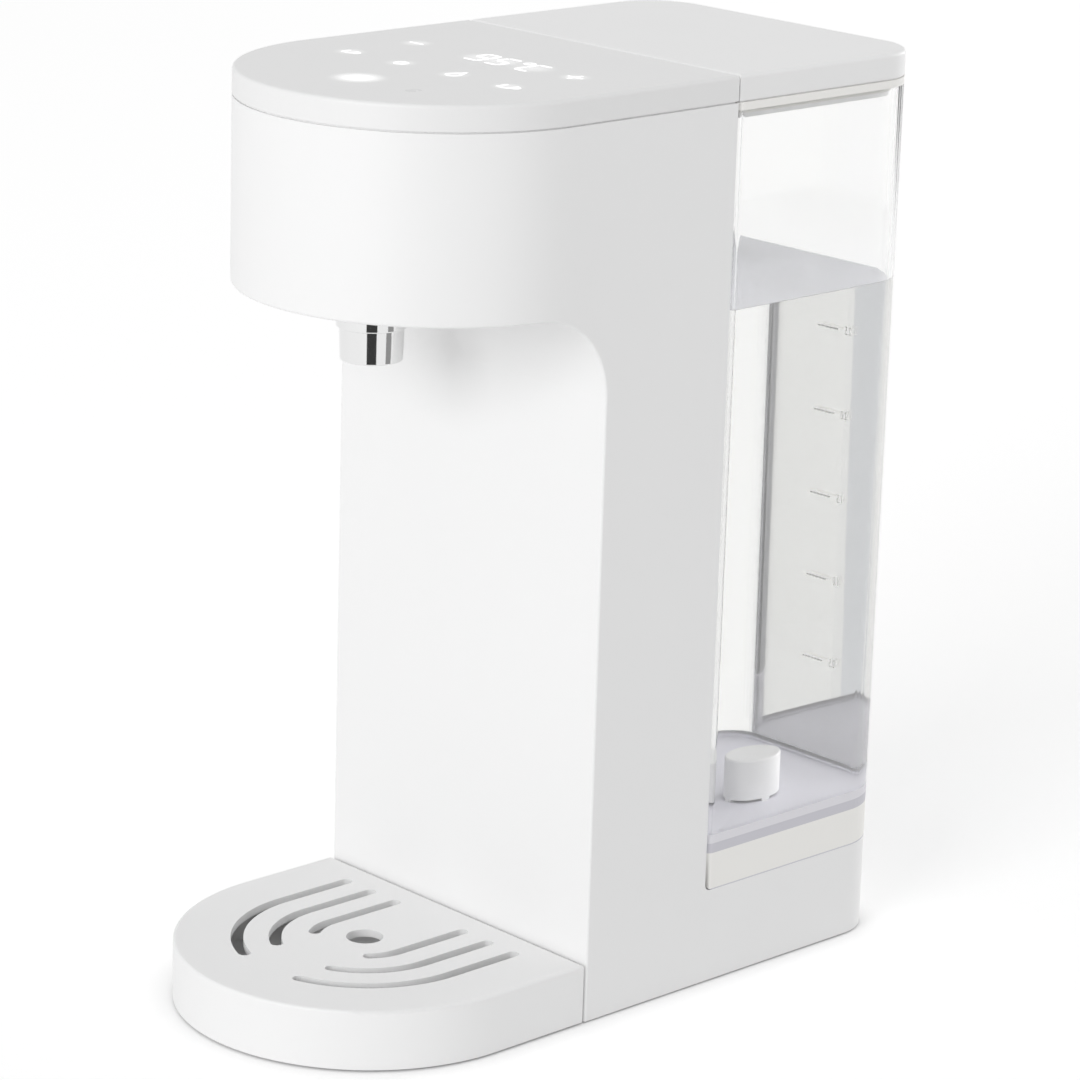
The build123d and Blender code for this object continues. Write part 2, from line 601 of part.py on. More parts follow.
def power_board_spans():
    half_width, half_height = POWER_BOARD_WIDTH / 2, POWER_BOARD_HEIGHT / 2
    x = (POWER_BOARD_X - half_width, POWER_BOARD_X + half_width)
    return x, (POWER_BOARD_Z - half_height, POWER_BOARD_Z + half_height)


def power_board():
    x, z = power_board_spans()
    return block(x, (BOARD_Y, BOARD_Y + BOARD_THICKNESS), z)


def board_standoffs():
    x, z = power_board_spans()
    places = [(px, pz) for px in (x[0] + STANDOFF_INSET, x[1] - STANDOFF_INSET)
              for pz in (z[0] + STANDOFF_INSET, z[1] - STANDOFF_INSET)]
    return [rod_y(STANDOFF_RADIUS, (BOARD_Y + BOARD_THICKNESS, PANEL_INNER), at) for at in places]


def power_components():
    """Cable plug, two relays, a coil and two capacitors on the board's front."""
    left = POWER_BOARD_X - POWER_BOARD_WIDTH / 4
    right = POWER_BOARD_X + POWER_BOARD_WIDTH / 4

    def cuboid(x, z, size, depth):
        return block((x - size / 2, x + size / 2), (BOARD_Y - depth, BOARD_Y), (z - size / 2, z + size / 2))

    low = POWER_BOARD_Z - COMPONENT_PITCH
    parts = [plug_block((PLUG_TOP_Z - PLUG_HEIGHT, PLUG_TOP_Z))]
    parts += [cuboid(x, POWER_BOARD_Z, RELAY_SIZE, RELAY_DEPTH) for x in (left, right)]
    parts.append(cuboid(left, low, COIL_SIZE, COIL_DEPTH))
    for z in (low, POWER_BOARD_Z + COMPONENT_PITCH):
        parts.append(rod_y(CAPACITOR_RADIUS, (BOARD_Y - CAPACITOR_DEPTH, BOARD_Y), (right, z)))
    return parts


def level_sensor():
    low = BASE_HEIGHT + LEVEL_BOARD_RISE
    x = (POWER_BOARD_X - LEVEL_BOARD_WIDTH / 2, POWER_BOARD_X + LEVEL_BOARD_WIDTH / 2)
    return block(x, (PANEL_INNER - BOARD_THICKNESS, PANEL_INNER), (low, low + LEVEL_BOARD_HEIGHT))


# Pump, heater and hoses

def pump_bracket():
    x = (VALVE_X - SADDLE_WIDTH / 2, VALVE_X + SADDLE_WIDTH / 2)
    saddle = block(x, PUMP_Y, (PLATE_TOP, PLATE_TOP + SADDLE_HEIGHT))
    return saddle - rod_y(PUMP_RADIUS + SNUG, PUMP_Y, PUMP_AXIS)


def pump_motor():
    y = (PUMP_Y[0] - MOTOR_LENGTH, PUMP_Y[0])
    motor = rod_y(MOTOR_RADIUS, y, PUMP_AXIS)
    return motor - rod_y(SHAFT_RADIUS + SNUG, (y[1] - SHAFT_REACH - IMPELLER_GAP, y[1]), PUMP_AXIS)


def pump_housing():
    inside = (PUMP_Y[0] + PUMP_WALL, PUMP_Y[1] - PUMP_WALL)
    inlet_y = PUMP_Y[1] + SPIGOT_LENGTH
    pump = rod_y(PUMP_RADIUS, PUMP_Y, PUMP_AXIS) + rod_y(HOSE_RADIUS, (PUMP_Y[1], inlet_y), PUMP_AXIS)
    pump += rod(HOSE_RADIUS, (PUMP_Z, PUMP_OUTLET_Z), HEATER)
    pump -= rod_y(PUMP_RADIUS - PUMP_WALL, inside, PUMP_AXIS)
    pump -= rod(HOSE_BORE_RADIUS, (PUMP_Z, PUMP_OUTLET_Z), HEATER)
    pump -= rod_y(HOSE_BORE_RADIUS, (inside[1], inlet_y), PUMP_AXIS)
    return pump - rod_y(SHAFT_RADIUS + SNUG, (PUMP_Y[0], inside[0]), PUMP_AXIS)


def pump_impeller():
    low, high = PUMP_Y[0] + PUMP_WALL + IMPELLER_GAP, PUMP_Y[1] - PUMP_WALL - IMPELLER_GAP
    reach = PUMP_RADIUS - PUMP_WALL - IMPELLER_GAP
    wheel = rod_y(reach, (low, low + IMPELLER_DISC), PUMP_AXIS) + rod_y(HUB_RADIUS, (low, high), PUMP_AXIS)
    vane = block((0.0, reach - PAST), (low, high), (-VANE_WIDTH / 2, VANE_WIDTH / 2))
    for turn in range(VANE_COUNT):
        wheel += Pos(VALVE_X, 0, PUMP_Z) * Rot(0, turn * 360 / VANE_COUNT, 0) * vane
    return wheel + rod_y(SHAFT_RADIUS, (PUMP_Y[0] - SHAFT_REACH, low), PUMP_AXIS)


def heater_tube():
    return tube(HEATER_RADIUS, HEATER_RADIUS - HEATER_WALL, HEATER_Z, HEATER)


def heater_cap(end, way):
    """Cap with a hose spigot on one end of the heater, pointing up (way 1) or down (way -1)."""
    def span(start, stop):
        return tuple(sorted((end + way * start, end + way * stop)))
    cap = rod(HEATER_CAP_RADIUS, span(-HEATER_CAP_SKIRT, HEATER_CAP_HEIGHT), HEATER)
    cap -= rod(HEATER_RADIUS + SNUG, span(-HEATER_CAP_SKIRT, 0.0), HEATER)
    tip = HEATER_CAP_HEIGHT + SPIGOT_LENGTH
    cap += rod(HOSE_RADIUS, span(HEATER_CAP_HEIGHT, tip), HEATER)
    return cap - rod(HOSE_BORE_RADIUS, span(0.0, tip), HEATER)


def heater_lower_cap():
    return heater_cap(HEATER_Z[0], -1)


def heater_upper_cap():
    return heater_cap(HEATER_Z[1], 1)


def heater_brackets():
    """Two clamps with a foot against the rear panel."""
    clamps = []
    x = (VALVE_X - CLAMP_FOOT_WIDTH / 2, VALVE_X + CLAMP_FOOT_WIDTH / 2)
    for middle in (HEATER_Z[0] + CLAMP_INSET, HEATER_Z[1] - CLAMP_INSET):
        z = (middle - CLAMP_HEIGHT / 2, middle + CLAMP_HEIGHT / 2)
        clamp = rod(HEATER_RADIUS + CLAMP_WALL, z, HEATER) + block(x, (HEATER[1], PANEL_INNER), z)
        clamps.append(clamp - rod(HEATER_RADIUS + SNUG, z, HEATER))
    return clamps


def thermal_cutout():
    middle = sum(HEATER_Z) / 2
    z = (middle - CUTOUT_STRAP_HEIGHT / 2, middle + CUTOUT_STRAP_HEIGHT / 2)
    face_y = HEATER[1] - HEATER_RADIUS - SNUG
    cutout = rod(HEATER_RADIUS + CUTOUT_STRAP_WALL, z, HEATER)
    cutout += rod_y(CUTOUT_RADIUS, (face_y - CUTOUT_DEPTH, face_y), (HEATER[0], middle))
    return cutout - rod(HEATER_RADIUS + SNUG, z, HEATER)


def inlet_hose():
    y = (PUMP_Y[1] + SPIGOT_LENGTH, VALVE[1] - DOCK_NECK_RADIUS - SPIGOT_LENGTH)
    return rod_y(HOSE_RADIUS, y, PUMP_AXIS) - rod_y(HOSE_BORE_RADIUS, y, PUMP_AXIS)


def pump_hose():
    return tube(HOSE_RADIUS, HOSE_BORE_RADIUS, (PUMP_OUTLET_Z, HEATER_INLET_Z), HEATER)


def outlet_hose():
    bend_y = HEATER[1] + (CHAMBER_INLET_Y - HEATER[1]) * HEAD_BEND_Y_SHARE
    points = [(*HEATER, HEATER_OUTLET_Z), (*HEATER, CHAMBER_INLET_Z),
              (SPOUT[0], bend_y, CHAMBER_INLET_Z), (SPOUT[0], CHAMBER_INLET_Y, CHAMBER_INLET_Z)]
    path = FilletPolyline(*points, radius=[RISE_BEND_RADIUS, HEAD_BEND_RADIUS])
    section = Pos(*points[0]) * (Circle(HOSE_RADIUS) - Circle(HOSE_BORE_RADIUS))
    return sweep(section, path=path)


# Tank, valve and dock

def water_tank():
    foot = make_face(Polyline((TANK_FRONT, BASE_HEIGHT), (REAR_Y + PAST, BASE_HEIGHT),
                              (REAR_Y + PAST, SEAM_Z), (TANK_FRONT, SEAM_Z), close=True))
    corner = foot.vertices().sort_by_distance((TANK_FRONT, BASE_HEIGHT))[0]
    side = extrude(Plane.YZ * fillet(corner, TANK_FOOT_CORNER), amount=WIDTH, both=True)
    tank = tank_slab(0.0, (BASE_HEIGHT - PAST, SEAM_Z + PAST)) & side
    tank -= tank_slab(TANK_WALL, (FLOOR_TOP, RIM_Z))
    tank -= tank_slab(TANK_WALL + RIM_EXTRA, (FLOOR_TOP, SEAM_Z + PAST))
    tank -= tank_slab(TANK_WALL, (BASE_HEIGHT - PAST, FLOOR_LOW))
    tank += rod(COLLAR_RADIUS, (FLOOR_LOW - COLLAR_DROP, FLOOR_LOW), VALVE)
    tank -= rod(COLLAR_RADIUS - COLLAR_WALL, (FLOOR_LOW - COLLAR_DROP, FLOOR_LOW), VALVE)
    return tank - rod(VALVE_HOLE_RADIUS, (FLOOR_LOW - PAST, FLOOR_TOP + PAST), VALVE)


def valve_cap():
    low, top = FLOOR_TOP + CAP_GAP, FLOOR_TOP + CAP_HEIGHT
    inner = CAP_RADIUS - CAP_WALL
    ceiling = top - CAP_WALL
    cap = rod(CAP_RADIUS, (low, top), VALVE)
    cap = fillet(top_edges(cap, top), CAP_EDGE)
    cap -= rod(inner, (low, ceiling), VALVE)
    sleeve_z = (ceiling - SLEEVE_LENGTH, ceiling)
    cap += tube(SLEEVE_RADIUS, STEM_RADIUS + SNUG, sleeve_z, VALVE)
    ring = tube(CAP_RADIUS, inner, (FLOOR_TOP, low), VALVE)
    leg = block((0.0, CAP_RADIUS + PAST), (-CAP_LEG_WIDTH / 2, CAP_LEG_WIDTH / 2), (FLOOR_TOP, low))
    for turn in range(CAP_LEG_COUNT):
        cap += ring & (Pos(*VALVE) * Rot(0, 0, turn * 360 / CAP_LEG_COUNT) * leg)
    return cap


def valve_stem():
    flange_z = (FLOOR_TOP + STEM_SEAL, FLOOR_TOP + STEM_SEAL + STEM_FLANGE)
    stem = rod(STEM_RADIUS, (FLOOR_TOP - STEM_DROP, FLOOR_TOP + STEM_REACH), VALVE)
    return stem + rod(STEM_FLANGE_RADIUS, flange_z, VALVE)


def stem_seal():
    return tube(STEM_FLANGE_RADIUS, STEM_RADIUS + SNUG, (FLOOR_TOP, FLOOR_TOP + STEM_SEAL), VALVE)


def valve_spring():
    low = FLOOR_TOP + STEM_SEAL + STEM_FLANGE + VALVE_WIRE_RADIUS
    high = FLOOR_TOP + CAP_HEIGHT - CAP_WALL - VALVE_WIRE_RADIUS
    coil = Helix((high - low) / VALVE_SPRING_TURNS, high - low, VALVE_SPRING_RADIUS)
    coil = Pos(*VALVE, low) * coil
    section = Plane(coil @ 0, z_dir=coil % 0) * Circle(VALVE_WIRE_RADIUS)
    return sweep(section, path=coil, is_frenet=True)


def tank_dock():
    flange = rod(DOCK_FLANGE_RADIUS, (BASE_HEIGHT, DOCK_FLOOR), VALVE)
    cup = COLLAR_RADIUS + MOVING_FIT
    flange += tube(cup + DOCK_CUP_WALL, cup, (DOCK_FLOOR, DOCK_FLOOR + DOCK_CUP_HEIGHT), VALVE)
    post_top = FLOOR_TOP - STEM_DROP - DOCK_POST_GAP
    dock = flange + rod(DOCK_POST_RADIUS, (DOCK_FLOOR, post_top), VALVE)
    neck_low = PUMP_Z - DOCK_NECK_DROP
    dock += rod(DOCK_NECK_RADIUS, (neck_low, BASE_HEIGHT), VALVE)
    spigot_y = (VALVE[1] - DOCK_NECK_RADIUS - SPIGOT_LENGTH, VALVE[1])
    dock += rod_y(HOSE_RADIUS, spigot_y, PUMP_AXIS)
    dock -= rod(DOCK_NECK_RADIUS - DOCK_NECK_WALL, (neck_low + DOCK_NECK_WALL, BASE_HEIGHT), VALVE)
    dock -= rod_y(HOSE_BORE_RADIUS, spigot_y, PUMP_AXIS)
    for turn in range(DOCK_DRAIN_COUNT):
        angle = radians(turn * 360 / DOCK_DRAIN_COUNT)
        at = (VALVE[0] + DOCK_DRAIN_PITCH * cos(angle), VALVE[1] + DOCK_DRAIN_PITCH * sin(angle))
        dock -= rod(DOCK_DRAIN_RADIUS, (BASE_HEIGHT, DOCK_FLOOR), at)
    return dock


def dock_seal():
    top = FLOOR_LOW - COLLAR_DROP - DOCK_SEAL_GAP
    return tube(COLLAR_RADIUS, COLLAR_RADIUS - COLLAR_WALL, (DOCK_FLOOR, top), VALVE)


def tank_lid():
    lip = TANK_WALL + RIM_EXTRA + LID_LIP_FIT
    ceiling = HEIGHT - TOP_THICKNESS
    lip_low = SEAM_Z - LID_LIP_DEPTH
    lid = lid_slab(0.0, (COVER_Z, HEIGHT))
    lid = fillet(top_edges(lid, HEIGHT), TOP_EDGE_RADIUS)
    lid += lid_slab(SEAM_DEPTH, (SEAM_Z, COVER_Z))
    lid -= lid_slab(LID_WALL, (lip_low, ceiling))
    lid += lid_slab(lip, (lip_low, ceiling))
    return lid - lid_slab(lip + LID_LIP_WALL, (lip_low, ceiling))


def lid_gasket():
    lip = TANK_WALL + RIM_EXTRA + LID_LIP_FIT
    z = (SEAM_Z - GASKET_DROP - GASKET_HEIGHT, SEAM_Z - GASKET_DROP)
    return lid_slab(TANK_WALL + RIM_EXTRA + MOVING_FIT, z) - lid_slab(lip - SNUG, z)


# Drip tray

def slot_sketch(radius, side):
    """Slot beside the middle line: a straight run from the rear that curves round the drain."""
    rear = (side * radius, COLUMN_FRONT - SLOT_REAR_MARGIN)
    bend = (side * radius, GRILLE[1])
    start = degrees(acos(side))
    arc = CenterArc(GRILLE, radius, start, -side * degrees(acos(SLOT_BRIDGE / radius)))
    return SlotArc(Wire([Edge.make_line(rear, bend), arc]), SLOT_WIDTH)


def drip_cover():
    cover = tray_slab(0.0, TRAY_REAR, (TRAY_FLOOR_GAP, TRAY_HEIGHT))
    cover = fillet(top_edges(cover, TRAY_HEIGHT), TRAY_EDGE_RADIUS)
    cover -= tray_slab(WALL, TRAY_REAR - WALL, (0.0, BASIN_TOP))
    for row in range(SLOT_COUNT):
        for side in SIDES:
            slot = slot_sketch(SLOT_FIRST_RADIUS + row * SLOT_PITCH, side)
            cover -= extrude(Pos(0, 0, BASIN_TOP - PAST) * slot, amount=TRAY_HEIGHT, dir=(0, 0, 1))
    cover -= rod(DRAIN_RADIUS, (BASIN_TOP - PAST, TRAY_HEIGHT + PAST), GRILLE)
    for side in SIDES:
        tab_x, tab_z = tab_spans(side, MOVING_FIT)
        cover -= block(tab_x, (TRAY_REAR - WALL - PAST, TRAY_REAR + PAST), (0.0, tab_z[1]))
    return cover


def drip_basin():
    basin = tray_slab(WALL + BASIN_FIT, BASIN_REAR, (FOOT_HEIGHT, BASIN_TOP))
    inner = WALL + BASIN_FIT + BASIN_WALL
    basin -= tray_slab(inner, BASIN_REAR - BASIN_WALL, (FOOT_HEIGHT + BASIN_WALL, HEIGHT))
    feet = [(0.0, TRAY_ARC_Y - BASIN_HALF + FOOT_INSET)]
    feet += [(side * (HALF - BASIN_FOOT_INSET), BASIN_REAR - FOOT_INSET) for side in SIDES]
    for at in feet:
        basin += rod(BASIN_FOOT_RADIUS, (0.0, FOOT_HEIGHT), at)
    for side in SIDES:
        tab_x, tab_z = tab_spans(side, 0.0)
        basin += block(tab_x, (BASIN_REAR - BITE, COLUMN_FRONT + WALL + TAB_REACH), tab_z)
    return basin


PIECES = [
    main_housing, rear_panel, rear_panel_screws, top_cover, bottom_plate, bottom_screws, rubber_feet,
    cable_gland, nozzle_ring, nozzle_nut, spout_tube, outlet_chamber, outlet_sensor, display_board,
    display_module, touch_springs, display_cable, power_board, power_components, board_standoffs,
    level_sensor, pump_bracket, pump_motor, pump_housing, pump_impeller, heater_tube,
    heater_lower_cap, heater_upper_cap, heater_brackets, thermal_cutout, inlet_hose, pump_hose,
    outlet_hose, water_tank, valve_cap, valve_stem, stem_seal, valve_spring, tank_dock, dock_seal,
    tank_lid, lid_gasket, drip_cover, drip_basin,
]


def main():
    os.makedirs("parts", exist_ok=True)
    for piece in PIECES:
        shape = piece()
        solids = shape if isinstance(shape, list) else [shape]
        export_step(Compound([solid for item in solids for solid in item.solids()]),
                    f"parts/{piece.__name__}.step")


if __name__ == "__main__":
    main()
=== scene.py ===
import json
from math import cos, exp, pi, radians, sin, tau

import bmesh
import bpy
from bpy.props import FloatProperty, FloatVectorProperty, PointerProperty
from bpy.types import NodeSocket, Operator, Panel, PropertyGroup
from mathutils import Matrix, Vector

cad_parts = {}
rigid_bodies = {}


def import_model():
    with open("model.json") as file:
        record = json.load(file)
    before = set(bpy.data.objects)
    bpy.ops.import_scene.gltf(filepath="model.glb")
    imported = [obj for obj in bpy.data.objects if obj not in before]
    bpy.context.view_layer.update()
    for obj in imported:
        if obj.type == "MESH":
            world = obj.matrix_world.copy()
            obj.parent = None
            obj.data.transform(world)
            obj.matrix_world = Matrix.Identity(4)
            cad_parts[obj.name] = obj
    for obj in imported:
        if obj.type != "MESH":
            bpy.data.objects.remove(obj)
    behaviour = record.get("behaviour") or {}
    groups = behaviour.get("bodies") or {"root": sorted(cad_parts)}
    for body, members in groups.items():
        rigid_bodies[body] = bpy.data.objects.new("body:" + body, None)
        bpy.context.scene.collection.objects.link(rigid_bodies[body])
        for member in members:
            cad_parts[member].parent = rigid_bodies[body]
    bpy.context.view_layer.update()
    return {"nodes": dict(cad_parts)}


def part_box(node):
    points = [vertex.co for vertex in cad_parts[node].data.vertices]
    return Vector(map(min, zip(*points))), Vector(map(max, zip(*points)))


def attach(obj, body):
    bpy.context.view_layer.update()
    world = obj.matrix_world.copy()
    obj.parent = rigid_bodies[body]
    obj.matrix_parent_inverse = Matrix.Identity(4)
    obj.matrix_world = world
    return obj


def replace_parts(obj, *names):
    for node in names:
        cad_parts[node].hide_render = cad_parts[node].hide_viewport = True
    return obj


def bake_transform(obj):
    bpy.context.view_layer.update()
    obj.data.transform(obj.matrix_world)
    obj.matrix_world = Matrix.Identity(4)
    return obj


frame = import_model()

bl_info = {
    "name": "Hot Water Dispenser",
    "version": (1, 0, 0),
    "blender": (4, 5, 0),
    "location": "View3D > Sidebar > Dispenser",
    "description": "Finishes, water, lit symbols and small fittings for a hot water dispenser, "
                   "with a studio",
    "category": "Object",
}

MM = 0.001
MERGE = 0.001 * MM  # points nearer than this are one
SMOOTH_ANGLE = radians(35)  # sharper edges stay sharp
UPWARD = 0.5  # upward part of a normal, above which a face is a top
ROUND_PROFILE = 0.5  # bevel that follows a circle
NODES = frame["nodes"]
WHITE = (1, 1, 1, 1)

# Steps of round shapes
RING_STEPS, OPEN_RING_STEPS, HALF_RING_STEPS = 32, 40, 16
TURN_STEPS, CORNER_STEPS, MENISCUS_STEPS = 48, 24, 6

# Touch symbols, in parts of a symbol's size
POWER_RING, POWER_BAR, POWER_BAR_RISE = 0.5, 0.55, 0.35
POWER_START, POWER_SWEEP = radians(120), radians(300)
SMALL_CUP = 0.8
CUP_HALF_WIDTH, CUP_HEIGHT, CUP_HANDLE = 0.36, 0.8, 0.2
RING_RADIUS, DROP_RADIUS = 0.3, 0.34
DROP_TAPER = 0.6  # share of its width that the drop loses at its tip
LOCK_WIDTH, LOCK_HEIGHT, LOCK_DROP = 0.7, 0.5, 0.2
SHACKLE_RADIUS, SHACKLE_RISE = 0.25, 0.05

# Display, and the segments that its signs light
READING, UNIT = "95", "C"
SEGMENTS = {"5": "acdfg", "9": "abcdfg", "C": "adef"}
SEGMENT_GAP = 0.25  # between two segments, in line widths
DEGREE_RADIUS, DEGREE_LINE = 1.3, 0.7  # in line widths
READING_START = 1.1  # from the first digit to the display's middle, in pitches of the digits
UNIT_SHIFT = 0.6  # unit beside the degree sign's place, in digit widths
DIGIT_HALO, MAIN_GLOW = 1.4, 3  # in parts of a symbol's halo and glow

# Water and level marks
MENISCUS_REACH = 0.8  # in parts of the water's front corner
MENISCUS_FALL = 2  # steps in which the meniscus falls to a third
LITRES_PER_MARK = 0.5

# Screws, in parts of the head's or the shank's radius, the profile of a foot's sole, and the far
# side of the gland's groove in widths of its lip
RECESS_SIZE, RECESS_LINE, SCREW_TIP = 1.15, 0.3, 0.2
FOOT_SOLE = ((0, 0.4), (0.6, 0.4), (0.64, 0), (0.94, 0), (0.98, 0.12), (1, 0.4), (1, 1))
GROOVE_END = 1.6

# Flags that the nozzle mirrors: colour, and both ends in degrees round from the front. Colour of
# the flag beside the tank.
NOZZLE_FLAGS = {"dark_flag": ("404040", 32.5, 67.0), "grey_flag": ("9C9C9C", 102.0, 123.0)}
SIDE_FLAG = "E0E2E7"

# Texture, light, optics and metal
GRAIN_DETAIL, GRAIN_ROUGHNESS, GRAIN_STRENGTH = 2.0, 0.6, 0.35
PATCH_SIZE, PATCH_DETAIL, PATCH_TONE = 60 * MM, 1.0, 0.985
LIT_ROUGHNESS, LIT_STRENGTH = 0.4, 0.6
COPOLYESTER_IOR, COPOLYESTER_ROUGHNESS, COPOLYESTER_CLEARNESS = 1.57, 0.02, 0.98
EDGE_DENSITY = 7.0
WATER_IOR = 1.333
STILL_WATER, QUIVERING_WATER = (0.0, 1.0), (0.16, 0.55)  # roughness and clearness
TURNING_PITCH, TURNING_WANDER, CHROME_GLOSS = 0.6 * MM, 0.4, (0.05, 0.09)
DRAWN_LINES, DRAWN_DETAIL, STEEL_GLOSS = 1.2 * MM, 3.0, (0.24, 0.42)
DRAWN_STRENGTH, DRAWN_DEPTH = 0.15, 0.02 * MM
PAPER_FIBRE, PAPER_DETAIL, PAPER_TONE, PAINTED_SHADOW_SAMPLES = 2.0 * MM, 2.0, 0.98, 16

# Moulded, printed and coated materials: colour setting, grain and its depth in millimetres,
# roughness and how much that varies. Real grain is too fine to show, so it is drawn coarser.
MOULDED = {
    # From a spark-eroded mould, whose fine texture scatters highlights to a soft satin
    "satin_moulded_abs": ("white_abs", 0.8, 0.02, 0.46, 0.05),
    # Painted shade: the rear panel's cool grey stands for the shade it lies in behind the tank
    "pale_grey_abs": ("panel_abs", 0.8, 0.02, 0.46, 0.05),
    "backlit_abs": ("cover_abs", 0.8, 0.02, 0.46, 0.05),
    # Window in the cover with its lamp off, a shade darker than the cover
    "dim_window": ("dim_symbol", 0.8, 0.02, 0.4, 0.04),
    # From a matt mould or print
    "grey_polypropylene": ("grey_plastic", 1.0, 0.03, 0.55, 0.06),  # dull, a little waxy
    "natural_polypropylene": ("natural_plastic", 1.0, 0.03, 0.45, 0.06),  # milky, faintly warm
    "black_nylon": ("black_plastic", 1.0, 0.03, 0.5, 0.06),  # deep black with a soft gleam
    "black_nitrile_rubber": ("black_rubber", 1.0, 0.03, 0.75, 0.06),  # dusty, without a gleam
    "milky_silicone": ("silicone", 1.0, 0.03, 0.5, 0.06),  # off-white and smooth
    "green_solder_mask": ("circuit_board", 2.0, 0.03, 0.35, 0.06),  # deep green, varnished
    "frosted_tank_foot": ("frosted_skirt", 0.8, 0.03, 0.6, 0.06),  # pale ground plastic
    "frosted_floor_edge": ("edge_shade_tint", 0.8, 0.03, 0.6, 0.06),  # painted shade on the floor's thick edge and the foot's lowest line
    "frosted_tank_floor": ("frosted_floor", 0.8, 0.03, 0.6, 0.06),  # cool and soft all over
    "frosted_tank_wall": ("band_shade_tint", 0.8, 0.03, 0.6, 0.06),  # painted shade: the floor's tone made darker against the side softbox's light
    "pale_level_ink": ("level_ink", 0.5, 0.03, 0.6, 0.06),  # thin chalky print
}

# Pieces by their material
HOUSING = {
    "satin_moulded_abs": ("main_housing", "tank_dock", "tank_lid", "drip_cover", "drip_basin",
                          "valve_cap"),
    "pale_grey_abs": ("rear_panel",),
    "grey_polypropylene": ("bottom_plate", "pump_bracket", "nozzle_nut"),
}
STEEL_WORKS = ("outlet_sensor", "touch_springs", "pump_motor", "heater_tube", "heater_brackets",
               "thermal_cutout")
WORKS = {
    "milky_silicone": ("spout_tube", "display_cable", "inlet_hose", "pump_hose", "outlet_hose",
                       "dock_seal", "stem_seal", "lid_gasket"),
    "natural_polypropylene": ("outlet_chamber", "board_standoffs", "pump_housing", "valve_stem"),
    "black_nylon": ("display_module", "power_components", "heater_lower_cap", "heater_upper_cap",
                    "pump_impeller"),
    "green_solder_mask": ("display_board", "power_board", "level_sensor"),
}


# Settings

def linear(code):
    """Linear colour of an sRGB hex code."""
    parts = [int(code[start:start + 2], 16) / 255 for start in (0, 2, 4)]
    return tuple(part / 12.92 if part <= 0.04045 else ((part + 0.055) / 1.055) ** 2.4
                 for part in parts)


def length(name, description, millimetres):
    return FloatProperty(name=name, description=description, default=millimetres * MM,
                         unit="LENGTH", subtype="DISTANCE", precision=5)


def angle(name, description, degrees):
    return FloatProperty(name=name, description=description, default=radians(degrees),
                         subtype="ANGLE")


def colour(name, description, code):
    return FloatVectorProperty(name=name, description=description, default=linear(code), size=3,
                               min=0, max=1, subtype="COLOR")


def level(name, description, default):
    return FloatProperty(name=name, description=description, default=default, min=0)


class DispenserFinishes(PropertyGroup):
    """Colours of the real materials; a few of them paint shade."""
    white_abs: colour("White ABS", "Moulded shells, lid and tray", "F5F5F5")
    cover_abs: colour("Cover ABS", "Top cover over the lamps, a shade deeper", "EFEFEF")
    clear_plastic: colour("Clear plastic", "Tint of the water tank", "FFFFFE")
    clear_edge: colour("Clear edge", "Tint of the tank where light runs far in its wall", "B4B8D8")
    frosted_floor: colour("Frosted floor", "Matt floor of the water tank", "E8E7F0")
    # Painted shade: the darker tone of the floor's edge and the foot's lowest line
    edge_shade_tint: colour("Frosted edge", "Edge of the tank's floor and foot", "C6C5CC")
    # Painted shade: a darker copy of the floor's tone, for the band outside above the fillet
    band_shade_tint: colour("Frosted wall", "Band of the wall just above the floor's edge", "DBDADF")
    frosted_skirt: colour("Frosted skirt", "Matt foot and rim of the water tank", "EAE9E6")
    level_ink: colour("Level ink", "Pale print of the level marks", "F6F4F0")
    water: colour("Water", "Tint of the water", "FFFFFE")
    water_top: colour("Water surface", "Tint of the water's surface", "F8F9FF")
    lit_symbol: colour("Lit symbols", "Light through the cover", "FFFFFF")
    dim_symbol: colour("Dim symbol", "Symbol that isn't lit", "E4E4E4")
    silicone: colour("Silicone", "Hoses and seals", "F0EFEA")
    natural_plastic: colour("Natural plastic", "Uncoloured polypropylene", "E2E0D6")
    # Painted shade: cool grey for the shade on the panel behind the tank
    panel_abs: colour("Panel ABS", "Rear panel behind the tank", "EDEDF5")
    grey_plastic: colour("Grey plastic", "Bottom plate and brackets", "B9BABC")
    black_plastic: colour("Black plastic", "Caps, relays and display", "1E1E20")
    black_rubber: colour("Black rubber", "Feet and cable gland", "19191A")
    circuit_board: colour("Circuit board", "Solder mask", "1D5A36")
    steel: colour("Stainless steel", "Heater, screws and spring", "C6C7C9")
    chrome: colour("Chrome", "Nozzle", "E6E6E6")


class DispenserPanel(PropertyGroup):
    """Touch symbols and display in the top cover."""
    symbol_size: length("Symbol size", "Width of a touch symbol", 8.0)
    symbol_line: length("Line width", "Width of the symbols' lines", 1.2)
    symbol_rise: length("Rise", "Symbols above the cover's face", 0.02)
    symbol_depth: length("Depth", "Symbols inside the cover", 0.1)
    digit_height: length("Digit height", "Height of the display's digits", 14.5)
    digit_width: length("Digit width", "Width of the display's digits", 8.6)
    digit_gap: length("Digit gap", "Gap between two digits", 2.8)
    digit_line: length("Segment width", "Width of a segment", 1.5)
    halo: length("Halo", "Radius of the glow round a lit symbol", 8.0)
    main_halo: length("Main halo", "Radius of the glow round the main key", 13.0)
    glow: level("Glow", "Strength of the glow in the cover", 0.16)


